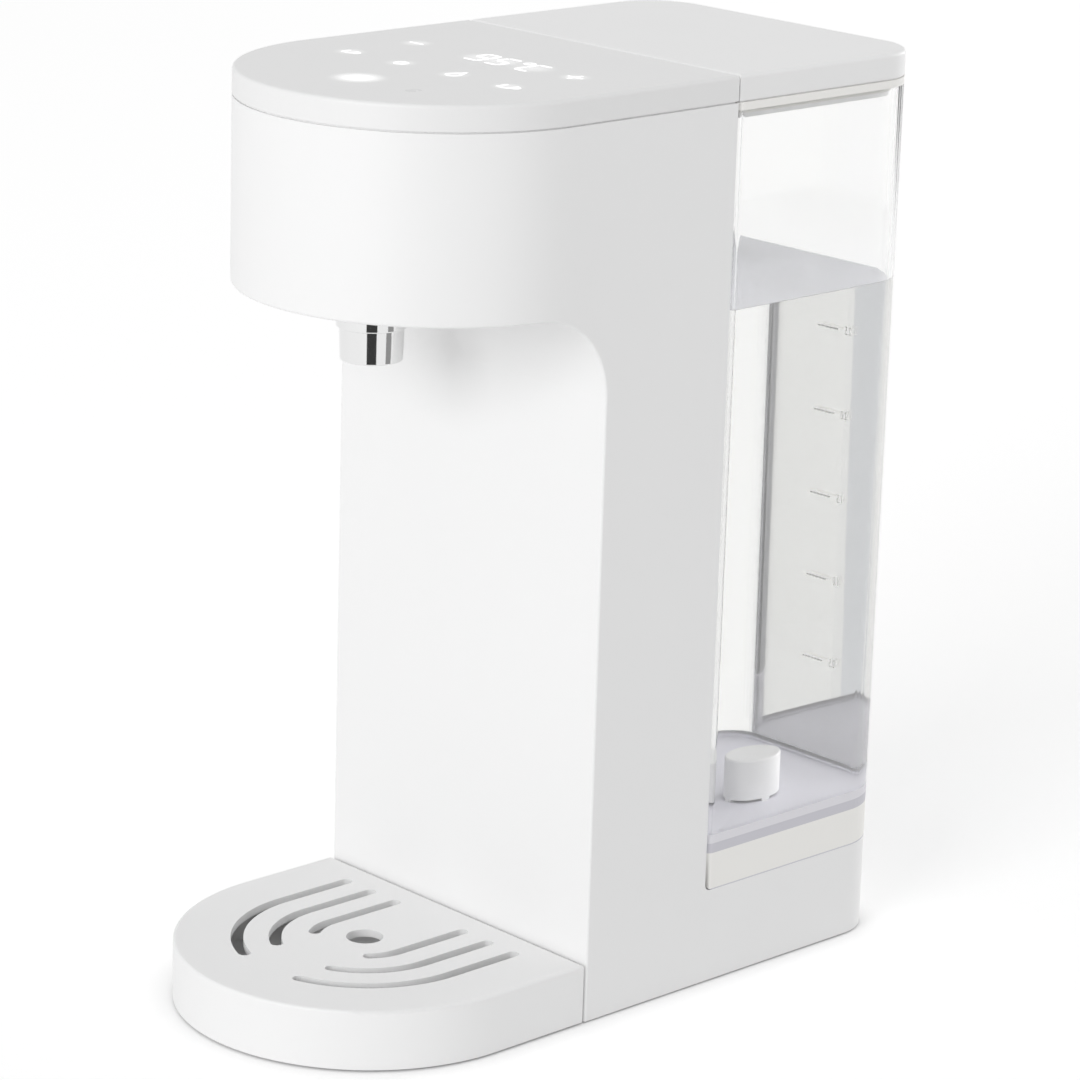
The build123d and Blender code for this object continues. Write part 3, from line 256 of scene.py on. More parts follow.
class DispenserTank(PropertyGroup):
    """Tank, water and level marks. Heights are above the standing surface."""
    water_level: length("Water level", "Height of the water's surface", 272.0)
    wall: length("Wall", "Thickness of the tank's wall", 2.5)
    floor_top: length("Tank floor", "Top of the tank's floor", 59.5)
    rear_corner: length("Rear corner", "Radius of the water's rear corners", 20.5)
    front_corner: length("Front corner", "Radius of the water's front corners", 1.0)
    overlap: length("Overlap", "Water sunk into the wall where the two are seen as one", 0.05)
    water_gap: length("Gap", "Air between the water and the walls on the far sides", 0.1)
    meniscus: length("Meniscus", "Rise of the water at the wall", 0.3)
    # Below this height the foot takes the painted shade of the floor's edge
    foot_shade_top: length("Foot line", "Height of the foot's lower edge", 0.5)
    floor_fillet: length("Floor fillet", "Height of the fillet between floor and wall", 1.6)
    # Painted shade: the floor's edge is darker up to this height
    floor_edge: length("Floor edge", "Top of the darker edge of the floor", 58.3)
    # The band up to here takes the painted shade of the band's tint
    band_rise: length("Band rise", "Frosted band outside above the fillet inside", 0.8)
    rim_low: length("Rim", "Underside of the tank's rim", 348.8)
    floor_low: length("Floor underside", "Underside of the tank's floor", 54.3)
    first_mark: length("First mark", "Height of the lowest level mark", 103.5)
    mark_step: length("Mark step", "Height between two level marks, half a litre", 35.0)
    mark_length: length("Mark length", "Length of a level mark", 18.0)
    mark_width: length("Mark width", "Height of a level mark", 0.7)
    mark_rise: length("Mark rise", "Thickness of the printed level marks", 0.1)
    numeral_size: length("Numeral size", "Height of the numerals beside the level marks", 5.0)


class DispenserFittings(PropertyGroup):
    """Screws, feet and cable gland."""
    screw_head: length("Screw head", "Diameter of a screw's head", 5.2)
    screw_height: length("Screw head height", "Height of a screw's head", 1.4)
    screw_round: length("Screw rounding", "Rounding of a screw's head", 0.35)
    screw_shank: length("Screw shank", "Diameter of a screw's shank", 2.4)
    screw_recess: length("Screw recess", "Depth of the cross recess", 0.9)
    foot_stem: length("Foot stem", "Diameter of a foot's stem", 6.0)
    gland_bore: length("Gland bore", "Bore of the cable gland", 6.4)
    gland_neck: length("Gland neck", "Diameter of the cable gland in the wall", 12.0)
    gland_flange: length("Gland flange", "Thickness of the gland's flange inside the wall", 3.0)


class DispenserStage(PropertyGroup):
    """Camera, light and floor. Angles go round from the object's front."""
    azimuth: angle("Azimuth", "Camera round the object", 46.53)
    elevation: angle("Elevation", "Camera above the horizon", 16.42)
    roll: angle("Roll", "Camera about its own axis", 1.73)
    distance: length("Distance", "Camera to its target", 1628.4)
    target_y: length("Target behind", "Camera target behind the middle", 16.0)
    target_z: length("Target height", "Camera target above the floor", 169.4)
    lens: level("Lens", "Focal length in millimetres", 138.41)
    floor_size: length("Floor size", "Side of the floor", 30000.0)
    floor: colour("Floor", "Sweep paper", "F4F4F4")
    floor_glow: level("Floor glow", "Added to the paper's lit tone where it is seen", 0.3)
    # Painted contact shadow: ambient occlusion within this reach dims the paper's glow
    painted_shadow_reach: length("Contact", "Reach of the dark line where object and floor nearly meet", 12.0)
    fill: level("Fill", "Strength of the light from all round", 0.63)
    key_power: level("Key power", "Watts of the softbox in front", 132.5)
    key_azimuth: angle("Key azimuth", "Front softbox round the object", 12.0)
    key_elevation: angle("Key elevation", "Front softbox above the horizon", 19.0)
    back_power: level("Back power", "Watts of the softbox behind", 115.0)
    back_azimuth: angle("Back azimuth", "Rear softbox round the object", 178.0)
    back_elevation: angle("Back elevation", "Rear softbox above the horizon", 9.0)
    side_power: level("Side power", "Watts of the softbox that is flagged to the tank", 63.0)
    side_azimuth: angle("Side azimuth", "Side softbox round the object", 90.0)
    side_elevation: angle("Side elevation", "Side softbox above the horizon", 45.0)
    lamp_distance: length("Lamp distance", "Softboxes to the object", 6000.0)
    lamp_size: length("Lamp size", "Side of a softbox", 2800.0)
    flag_distance: length("Flag distance", "Flags in front to the nozzle", 600.0)
    flag_height: length("Flag height", "Height of the flags in front", 360.0)
    side_flag_gap: length("Side flag gap", "Flag beside the tank to the object", 5.0)
    side_flag_width: length("Side flag width", "Flag beside the tank, front to back", 38.0)


# Mesh helpers

def new_object(name, bm, material):
    """Object with a bmesh's shape, smooth but for its sharp edges."""
    bmesh.ops.remove_doubles(bm, verts=bm.verts, dist=MERGE)
    bmesh.ops.recalc_face_normals(bm, faces=bm.faces)
    mesh = bpy.data.meshes.new(name)
    bm.to_mesh(mesh)
    bm.free()
    mesh.shade_smooth()
    mesh.set_sharp_from_angle(angle=SMOOTH_ANGLE)
    mesh.materials.append(material)
    made = bpy.data.objects.new(name, mesh)
    bpy.context.scene.collection.objects.link(made)
    return made


def new_piece(name, bm, material, body, slot, *stands_for):
    """Piece that rides on a body. Its slot is not used."""
    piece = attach(new_object(name, bm, material), body)
    if stands_for:
        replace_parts(piece, *stands_for)
    return piece


def merged_copy(node):
    """Bmesh of a node's shape with its loose triangles joined."""
    bm = bmesh.new()
    bm.from_mesh(NODES[node].data)
    bmesh.ops.remove_doubles(bm, verts=bm.verts, dist=MERGE)
    return bm


def solid_boxes(node):
    """Low and high corner of each separate solid of a node, front to back and left to right."""
    bm = merged_copy(node)
    waiting, boxes = set(bm.verts), []
    while waiting:
        found = [waiting.pop()]
        for vert in found:
            near = {edge.other_vert(vert) for edge in vert.link_edges} & waiting
            waiting -= near
            found.extend(near)
        boxes.append(tuple(Vector([pick(vert.co[axis] for vert in found) for axis in range(3)])
                           for pick in (min, max)))
    bm.free()
    return sorted(boxes, key=lambda box: [round(sum(end[axis] for end in box) / MM)
                                          for axis in (1, 0, 2)])


def middle(box):
    return (box[0] + box[1]) / 2


def direction(azimuth, elevation):
    """Way out from the object, round from its front and up from the horizon."""
    return Vector((sin(azimuth) * cos(elevation), -cos(azimuth) * cos(elevation), sin(elevation)))


def of_kind(items, kind):
    return [item for item in items if isinstance(item, kind)]


def verts_of(items):
    return of_kind(items, bmesh.types.BMVert)


def faces_of(items):
    return of_kind(items, bmesh.types.BMFace)


def whole(bm):
    return bm.verts[:] + bm.edges[:] + bm.faces[:]


def place(bm, verts, to, turn=0.0):
    matrix = Matrix.Translation(to) @ Matrix.Rotation(turn, 4, "Z")
    bmesh.ops.transform(bm, matrix=matrix, verts=verts)


def thicken(bm, low, high):
    """Turns flat faces on z = 0 into closed plates between two heights."""
    lower = bm.verts[:]
    made = bmesh.ops.extrude_face_region(bm, geom=bm.faces[:], use_keep_orig=True)["geom"]
    for verts, height in ((lower, low), (verts_of(made), high)):
        bmesh.ops.translate(bm, verts=verts, vec=(0, 0, height))


# Flat shapes for symbols, each about its own middle

def add_bar(bm, long, wide, to=(0, 0, 0), turn=0.0):
    """Bar with pointed ends, as a display's segment has."""
    half, side = long / 2, wide / 2
    corners = [(half, 0), (half - side, side), (side - half, side), (-half, 0),
               (side - half, -side), (half - side, -side)]
    verts = [bm.verts.new((x, y, 0)) for x, y in corners]
    bm.faces.new(verts)
    place(bm, verts, to, turn)


def add_arc(bm, radius, wide, to=(0, 0, 0), start=0.0, sweep=tau, steps=RING_STEPS):
    """Ring, or part of one."""
    ends = [bm.verts.new((radius + side * wide / 2, 0, 0)) for side in (-1, 1)]
    line = bm.edges.new(ends)
    before = set(bm.verts) - set(ends)
    bmesh.ops.spin(bm, geom=ends + [line], axis=(0, 0, 1), cent=(0, 0, 0), angle=sweep,
                   steps=steps, use_merge=sweep == tau)
    place(bm, list(set(bm.verts) - before), to, start)


def add_plus(bm, size, line, to):
    """Plus sign, one arm at a time."""
    half, side = size / 2, line / 2
    turns = [Matrix.Rotation(quarter * pi / 2, 3, "Z") for quarter in range(4)]
    verts = [bm.verts.new(turn @ Vector(corner)) for turn in turns
             for corner in ((half, -side, 0), (half, side, 0), (side, side, 0))]
    bm.faces.new(verts)
    place(bm, verts, to)


def add_drop(bm, radius, line, to):
    """Outline of a drop: a ring that runs out to a tip."""
    before = set(bm.verts)
    add_arc(bm, radius, line)
    verts = list(set(bm.verts) - before)
    for vert in verts:
        share = max(vert.co.y / radius, 0.0)
        vert.co.x *= 1 - DROP_TAPER * share ** 2
        vert.co.y += radius * share ** 2
    place(bm, verts, to)


def add_cup(bm, size, line, to):
    """Mug: two sides, a foot and a handle."""
    x, y, _ = to
    half, high = size * CUP_HALF_WIDTH, size * CUP_HEIGHT
    for side in (-1, 1):
        add_bar(bm, high, line, (x + side * half, y, 0), pi / 2)
    add_bar(bm, 2 * half - line, line, (x, y - high / 2 + line / 2, 0))
    add_arc(bm, size * CUP_HANDLE, line, (x + half + line, y, 0), -pi / 2, pi, HALF_RING_STEPS)


def add_digit(bm, digit, size, line, to):
    """Seven-segment digit."""
    wide, high = size
    x, y, _ = to
    reach = high / 2 - line / 2
    side = wide / 2 - line / 2
    spans = {
        "a": (0, reach, 0), "g": (0, 0, 0), "d": (0, -reach, 0),
        "b": (side, reach / 2, 1), "c": (side, -reach / 2, 1),
        "f": (-side, reach / 2, 1), "e": (-side, -reach / 2, 1),
    }
    for name in SEGMENTS[digit]:
        along, up, upright = spans[name]
        long = reach if upright else 2 * side
        add_bar(bm, long - line * SEGMENT_GAP, line, (x + along, y + up, 0), upright * pi / 2)


# Turned shapes and numerals

def add_turned(bm, points):
    """Turned shape from points of radius and height about Z. Returns its vertices."""
    before = set(bm.verts)
    verts = [bm.verts.new((radius, 0, height)) for radius, height in points]
    edges = [bm.edges.new(pair) for pair in zip(verts, verts[1:])]
    bmesh.ops.spin(bm, geom=verts + edges, axis=(0, 0, 1), cent=(0, 0, 0), angle=tau,
                   steps=TURN_STEPS, use_merge=True)
    return list(set(bm.verts) - before)


def add_numeral(bm, words, size, thick, to):
    """Printed numeral on a wall that faces the front, to be read from behind."""
    curve = bpy.data.curves.new("numeral", "FONT")
    curve.body, curve.size, curve.extrude = words, size, thick / 2
    curve.align_x, curve.align_y = "CENTER", "CENTER"
    holder = bpy.data.objects.new("numeral", curve)
    mesh = bpy.data.meshes.new_from_object(holder)
    before = set(bm.verts)
    bm.from_mesh(mesh)
    upright = Matrix.Rotation(pi, 4, "Z") @ Matrix.Rotation(pi / 2, 4, "X")
    bmesh.ops.transform(bm, matrix=Matrix.Translation(to) @ upright,
                        verts=list(set(bm.verts) - before))
    for block, made in ((bpy.data.objects, holder), (bpy.data.curves, curve),
                        (bpy.data.meshes, mesh)):
        block.remove(made)


# Material helpers

def add_node(tree, kind, inputs=None, **settings):
    """Adds a node, sets its properties and sets or links its inputs."""
    node = tree.nodes.new("ShaderNode" + kind)
    for name, value in settings.items():
        setattr(node, name, value)
    for name, value in (inputs or {}).items():
        if isinstance(value, NodeSocket):
            tree.links.new(value, node.inputs[name])
        else:
            node.inputs[name].default_value = value
    return node


def new_material(name):
    material = bpy.data.materials.new(name)
    material.use_nodes = True
    material.node_tree.nodes.clear()
    return material, material.node_tree


def show(tree, shader):
    return add_node(tree, "OutputMaterial", {"Surface": shader.outputs[0]})


def finish(material, *nodes):
    """Gives carried-over nodes a material."""
    for name in nodes:
        NODES[name].material_slots[0].material = material


def tint_of(setting):
    """A finish's colour with its opacity."""
    return (*getattr(bpy.context.scene.dispenser_finishes, setting), 1)


def own_space(tree):
    return add_node(tree, "TexCoord").outputs["Object"]


def noise(tree, size, detail, rough=0.5):
    """Noise with features of a size."""
    return add_node(tree, "TexNoise", {"Vector": own_space(tree), "Scale": 1 / size,
                                       "Detail": detail, "Roughness": rough}).outputs["Fac"]


def spread(tree, value, low, high):
    """Spreads a value from 0 to 1 between two others."""
    return add_node(tree, "MapRange", {"Value": value, "To Min": low,
                                       "To Max": high}).outputs["Result"]


def shaded(tree, tint, tone):
    """A colour times a tone."""
    scaled = add_node(tree, "VectorMath", {0: tint, "Scale": tone}, operation="SCALE")
    return scaled.outputs["Vector"]


def bump(tree, height, strength, depth):
    return add_node(tree, "Bump", {"Height": height, "Strength": strength,
                                   "Distance": depth}).outputs["Normal"]


def calculate(tree, operation, first, second):
    return add_node(tree, "Math", {0: first, 1: second}, operation=operation).outputs["Value"]


def moulded(tree, name):
    """Base colour, roughness and normal of a moulded material: the mould's fine grain, and broad,
    faint unevenness in tone."""
    setting, grain, depth, rough, varies = MOULDED[name]
    fine = noise(tree, grain * MM, GRAIN_DETAIL, GRAIN_ROUGHNESS)
    tone = spread(tree, noise(tree, PATCH_SIZE, PATCH_DETAIL), PATCH_TONE, 1.0)
    return {"Base Color": shaded(tree, tint_of(setting)[:3], tone),
            "Roughness": spread(tree, fine, rough - varies, rough + varies),
            "Normal": bump(tree, fine, GRAIN_STRENGTH, depth * MM)}


def seen_directly(tree):
    """1 for rays from the camera, mirrors and glass, else 0."""
    path = add_node(tree, "LightPath").outputs
    seen = calculate(tree, "MAXIMUM", path["Is Camera Ray"], path["Is Glossy Ray"])
    return calculate(tree, "MAXIMUM", seen, path["Is Transmission Ray"])


def see_through(tree, glass, inside=None):
    """Lets light through to what stands behind or inside, as clear plastic and water do."""
    shadow = add_node(tree, "LightPath").outputs["Is Shadow Ray"]
    clear = add_node(tree, "BsdfTransparent", {"Color": WHITE})
    mix = add_node(tree, "MixShader", {0: shadow, 1: glass.outputs[0], 2: clear.outputs[0]})
    output = show(tree, mix)
    if inside:
        tree.links.new(inside.outputs[0], output.inputs["Volume"])


# Materials

def moulding(name):
    """A moulded, printed or coated material. The table of them says what each gives the eye."""
    material, tree = new_material(name)
    show(tree, add_node(tree, "BsdfPrincipled", moulded(tree, name)))
    return material


def glowing_abs(halos):
    """The cover's ABS is thin enough for the lamps behind the symbols to shine through as soft
    halos."""
    material, tree = new_material("backlit_abs")
    surface = moulded(tree, "backlit_abs")
    place_in = own_space(tree)
    total = None
    for centre, radius, strength in halos:
        reach = add_node(tree, "VectorMath", {0: place_in, 1: centre}, operation="DISTANCE")
        fade = add_node(tree, "MapRange", {
            "Value": reach.outputs["Value"], "From Max": radius, "To Min": strength,
            "To Max": 0.0}, interpolation_type="SMOOTHERSTEP").outputs["Result"]
        total = calculate(tree, "ADD", total, fade) if total else fade
    surface.update({"Emission Color": tint_of("lit_symbol"), "Emission Strength": total})
    show(tree, add_node(tree, "BsdfPrincipled", surface))
    return material


def lit_window():
    """Clear window in the cover with a white lamp right behind it."""
    material, tree = new_material("lit_window")
    tint = tint_of("lit_symbol")
    show(tree, add_node(tree, "BsdfPrincipled", {
        "Base Color": tint, "Roughness": LIT_ROUGHNESS, "Emission Color": tint,
        "Emission Strength": LIT_STRENGTH}))
    return material


def clear_tank():
    """Polished clear copolyester: sharp reflections, and a faint tint where light runs far in the
    wall."""
    material, tree = new_material("clear_copolyester")
    glass = add_node(tree, "BsdfPrincipled", {
        "Base Color": tint_of("clear_plastic"), "Roughness": COPOLYESTER_ROUGHNESS,
        "IOR": COPOLYESTER_IOR, "Transmission Weight": COPOLYESTER_CLEARNESS})
    edge = add_node(tree, "VolumeAbsorption", {
        "Color": tint_of("clear_edge"), "Density": EDGE_DENSITY})
    see_through(tree, glass, edge)
    return material


def drinking_water(name, setting, ripple, clearness):
    """Still water: bends what is behind it and mirrors the room, softly where its surface
    quivers."""
    material, tree = new_material(name)
    glass = add_node(tree, "BsdfPrincipled", {
        "Base Color": tint_of(setting), "Roughness": ripple, "IOR": WATER_IOR,
        "Transmission Weight": clearness})
    see_through(tree, glass)
    return material


def polished_chrome():
    """Bright chrome plate on a turned ring: mirror-like, with the faintest turning marks."""
    material, tree = new_material("polished_chrome")
    lines = add_node(tree, "TexWave", {
        "Vector": own_space(tree), "Scale": 1 / TURNING_PITCH, "Distortion": TURNING_WANDER},
        bands_direction="Z")
    show(tree, add_node(tree, "BsdfPrincipled", {
        "Base Color": tint_of("chrome"), "Metallic": 1.0,
        "Roughness": spread(tree, lines.outputs["Fac"], *CHROME_GLOSS)}))
    return material


def drawn_steel():
    """Bare stainless steel, drawn and rolled: a fine uneven texture and a soft metal gloss."""
    material, tree = new_material("drawn_stainless_steel")
    lines = noise(tree, DRAWN_LINES, DRAWN_DETAIL)
    show(tree, add_node(tree, "BsdfPrincipled", {
        "Base Color": tint_of("steel"), "Metallic": 1.0,
        "Roughness": spread(tree, lines, *STEEL_GLOSS),
        "Normal": bump(tree, lines, DRAWN_STRENGTH, DRAWN_DEPTH)}))
    return material


def sweep_paper():
    """Seamless white paper. The camera, mirrors and glass see it as evenly lit, and it keeps the
    shadow. Near the object, ambient occlusion takes away the added glow: a painted contact shadow."""
    material, tree = new_material("white_sweep_paper")
    stage = bpy.context.scene.dispenser_stage
    tone = spread(tree, noise(tree, PAPER_FIBRE, PAPER_DETAIL), PAPER_TONE, 1.0)
    paper = add_node(tree, "BsdfDiffuse", {"Color": shaded(tree, stage.floor, tone)})
    # Painted contact shadow: ambient occlusion fades the glow where the object stands near
    painted_contact_shadow = add_node(tree, "AmbientOcclusion", {"Distance": stage.painted_shadow_reach},
                        samples=PAINTED_SHADOW_SAMPLES).outputs["AO"]
    strength = calculate(tree, "MULTIPLY", seen_directly(tree), stage.floor_glow)
    strength = calculate(tree, "MULTIPLY", strength, painted_contact_shadow)
    glow = add_node(tree, "Emission", {"Color": WHITE, "Strength": strength})
    show(tree, add_node(tree, "AddShader", {0: paper.outputs[0], 1: glow.outputs[0]}))
    return material


# Operators

class DISPENSER_OT_housing(Operator):
    """Finish the white mouldings, the rear panel and the grey mouldings"""
    bl_idname = "dispenser.housing"
    bl_label = "Housing"

    def execute(self, context):
        for name, nodes in HOUSING.items():
            finish(moulding(name), *nodes)
        return {"FINISHED"}


class DISPENSER_OT_panel(Operator):
    """Finish the top cover and add its lit symbols and display"""
    bl_idname = "dispenser.panel"
    bl_label = "Touch panel"

    def execute(self, context):
        panel = context.scene.dispenser_panel
        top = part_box("top_cover")[1].z
        keys = [middle(box).to_2d() for box in solid_boxes("touch_springs")]
        display = middle(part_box("display_module")).to_2d()
        lit, dim = bmesh.new(), bmesh.new()
        self.add_symbols(lit, dim, keys, panel)
        digits = self.add_display(lit, display, panel)
        for name, bm, material in (("lit_symbols", lit, lit_window()),
                                   ("dim_symbol", dim, moulding("dim_window"))):
            thicken(bm, top - panel.symbol_depth, top + panel.symbol_rise)
            new_piece(name, bm, material, "housing", "white_abs")
        main, _, *others = keys
        halos = [(key, panel.halo, panel.glow) for key in others]
        halos += [(digit, DIGIT_HALO * panel.halo, panel.glow) for digit in digits]
        halos.append((main, panel.main_halo, MAIN_GLOW * panel.glow))
        finish(glowing_abs([((*at, top), radius, strength) for at, radius, strength in halos]),
               "top_cover")
        return {"FINISHED"}

    def add_symbols(self, lit, dim, keys, panel):
        size, line = panel.symbol_size, panel.symbol_line
        main, lock, small_cup, ring, drop, large_cup, minus, plus = [(*key, 0) for key in keys]
        add_arc(lit, size * POWER_RING, line, main, POWER_START, POWER_SWEEP, OPEN_RING_STEPS)
        add_bar(lit, size * POWER_BAR, line, (main[0], main[1] + size * POWER_BAR_RISE, 0), pi / 2)
        add_cup(lit, size * SMALL_CUP, line, small_cup)
        add_arc(lit, size * RING_RADIUS, line, ring)
        add_drop(lit, size * DROP_RADIUS, line, drop)
        add_cup(lit, size, line, large_cup)
        add_bar(lit, size, line, minus)
        add_plus(lit, size, line, plus)
        add_bar(dim, size * LOCK_WIDTH, size * LOCK_HEIGHT,
                (lock[0], lock[1] - size * LOCK_DROP, 0))
        add_arc(dim, size * SHACKLE_RADIUS, line, (lock[0], lock[1] + size * SHACKLE_RISE, 0),
                0.0, pi, HALF_RING_STEPS)

    def add_display(self, lit, display, panel):
        """Reading with its degree sign and unit. Returns the middles of its digits and unit."""
        size = (panel.digit_width, panel.digit_height)
        pitch = panel.digit_width + panel.digit_gap
        ring = panel.digit_line * DEGREE_RADIUS
        places = [display + Vector((pitch * (place_index - READING_START), 0))
                  for place_index in range(len(READING) + 1)]
        for digit, at in zip(READING, places):
            add_digit(lit, digit, size, panel.digit_line, (*at, 0))
        *digits, last = places
        degree = last + Vector((ring - panel.digit_width / 2, panel.digit_height / 2 - ring))
        add_arc(lit, ring, panel.digit_line * DEGREE_LINE, (*degree, 0))
        unit = last + Vector((panel.digit_width * UNIT_SHIFT, 0))
        add_digit(lit, UNIT, size, panel.digit_line, (*unit, 0))
        return digits + [unit]


class DISPENSER_OT_nozzle(Operator):
    """Finish the nozzle"""
    bl_idname = "dispenser.nozzle"
    bl_label = "Nozzle"

    def execute(self, context):
        finish(polished_chrome(), "nozzle_ring")
        return {"FINISHED"}


class DISPENSER_OT_tank(Operator):
    """Finish the tank and add its water and level marks"""
    bl_idname = "dispenser.tank"
    bl_label = "Tank and water"

    def execute(self, context):
        tank = context.scene.dispenser_tank
        # Frosted mouldings; the floor's edge and the band above the floor carry painted shade
        frosted = ("frosted_tank_foot", "frosted_floor_edge", "frosted_tank_floor",
                   "frosted_tank_wall")
        self.add_shell(tank, [clear_tank()] + [moulding(name) for name in frosted])
        self.add_water(tank, drinking_water("still_water", "water", *STILL_WATER),
                       drinking_water("water_surface", "water_top", *QUIVERING_WATER))
        self.add_marks(tank, moulding("pale_level_ink"))
        return {"FINISHED"}

    def add_shell(self, tank, materials):
        """The tank with its foot, floor and rim frosted, as the mould's texture leaves them, and
        painted shade on the floor's edge, the foot's lowest line and the band above the floor.
        """
        bm = merged_copy("water_tank")
        centre = middle(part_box("water_tank"))
        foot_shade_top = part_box("water_tank")[0].z + tank.foot_shade_top
        fillet_top = tank.floor_top + tank.floor_fillet
        band_top = fillet_top + tank.band_rise
        for height in (foot_shade_top, tank.floor_low, tank.floor_edge, tank.floor_top, fillet_top,
                       band_top, tank.rim_low):
            bmesh.ops.bisect_plane(bm, geom=whole(bm), dist=MERGE, plane_co=(0, 0, height),
                                   plane_no=(0, 0, 1))
        bm.normal_update()
        clear, foot, edge, floor, wall = range(len(materials))
        for face in bm.faces:
            at = face.calc_center_median()
            outside = face.normal.dot(at - centre) > 0
            if abs(at.z - tank.floor_top) < MERGE:
                face.material_index = floor
            elif foot_shade_top < at.z < tank.floor_low + MERGE or at.z > tank.rim_low - MERGE:
                face.material_index = foot
            # Painted shade: the foot's lowest line and the floor's edge take the darker edge tone
            elif at.z < tank.floor_edge:
                face.material_index = edge
            # Painted shade: outside, the band above the floor's edge takes the darker band tone
            elif at.z < (band_top if outside else fillet_top):
                face.material_index = wall if outside else floor
        shell = new_piece("tank_shell", bm, materials[clear], "tank", "clear_tank", "water_tank")
        for material in materials[1:]:
            shell.data.materials.append(material)
        weigh = shell.modifiers.new("flat_walls", "WEIGHTED_NORMAL")
        weigh.keep_sharp = True

    def add_water(self, tank, body, surface):
        """Water up to its level, in touch with the walls that it is seen through."""
        low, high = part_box("water_tank")
        near, far = tank.wall - tank.overlap, tank.wall + tank.water_gap
        bm = bmesh.new()
        corners = [(low.x + far, low.y + far), (high.x - near, low.y + far),
                   (high.x - near, high.y - near), (low.x + far, high.y - near)]
        verts = [bm.verts.new((x, y, tank.floor_top - tank.overlap)) for x, y in corners]
        bm.faces.new(verts)
        for pair, radius in ((verts[:2], tank.front_corner),
                             (verts[2:], tank.rear_corner + tank.overlap)):
            bmesh.ops.bevel(bm, geom=pair, offset=radius, offset_type="OFFSET",
                            affect="VERTICES", segments=CORNER_STEPS, profile=ROUND_PROFILE,
                            material=-1)
        made = bmesh.ops.extrude_face_region(bm, geom=bm.faces[:], use_keep_orig=True)["geom"]
        top = faces_of(made)
        rise = tank.water_level + tank.meniscus - tank.floor_top
        bmesh.ops.translate(bm, verts=top[0].verts, vec=(0, 0, rise))
        inset = tank.front_corner * MENISCUS_REACH / MENISCUS_STEPS
        for step in range(MENISCUS_STEPS):
            fall = exp(-step / MENISCUS_FALL) - exp(-(step + 1) / MENISCUS_FALL)
            bmesh.ops.inset_region(bm, faces=top, thickness=inset, depth=-tank.meniscus * fall,
                                   use_even_offset=True)
        bm.normal_update()
        for face in bm.faces:
            face.material_index = int(face.normal.z > UPWARD)
        water = new_piece("tank_water", bm, body, "tank", "clear_tank")
        water.data.materials.append(surface)

    def add_marks(self, tank, material):
        """Printed level marks, with their litres, on the rear wall's inner face."""
        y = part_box("water_tank")[1].y - tank.wall + (tank.overlap - tank.mark_rise) / 2
        bm = bmesh.new()
        height, litres = tank.first_mark, LITRES_PER_MARK
        while height < tank.water_level:
            verts = bmesh.ops.create_cube(bm, size=1.0)["verts"]
            bmesh.ops.scale(bm, verts=verts,
                            vec=(tank.mark_length, tank.mark_rise, tank.mark_width))
            place(bm, verts, (0, y, height))
            add_numeral(bm, f"{litres:.1f}", tank.numeral_size, tank.mark_rise,
                        (tank.mark_length, y, height))
            height, litres = height + tank.mark_step, litres + LITRES_PER_MARK
        new_piece("level_marks", bm, material, "tank", "white_abs")


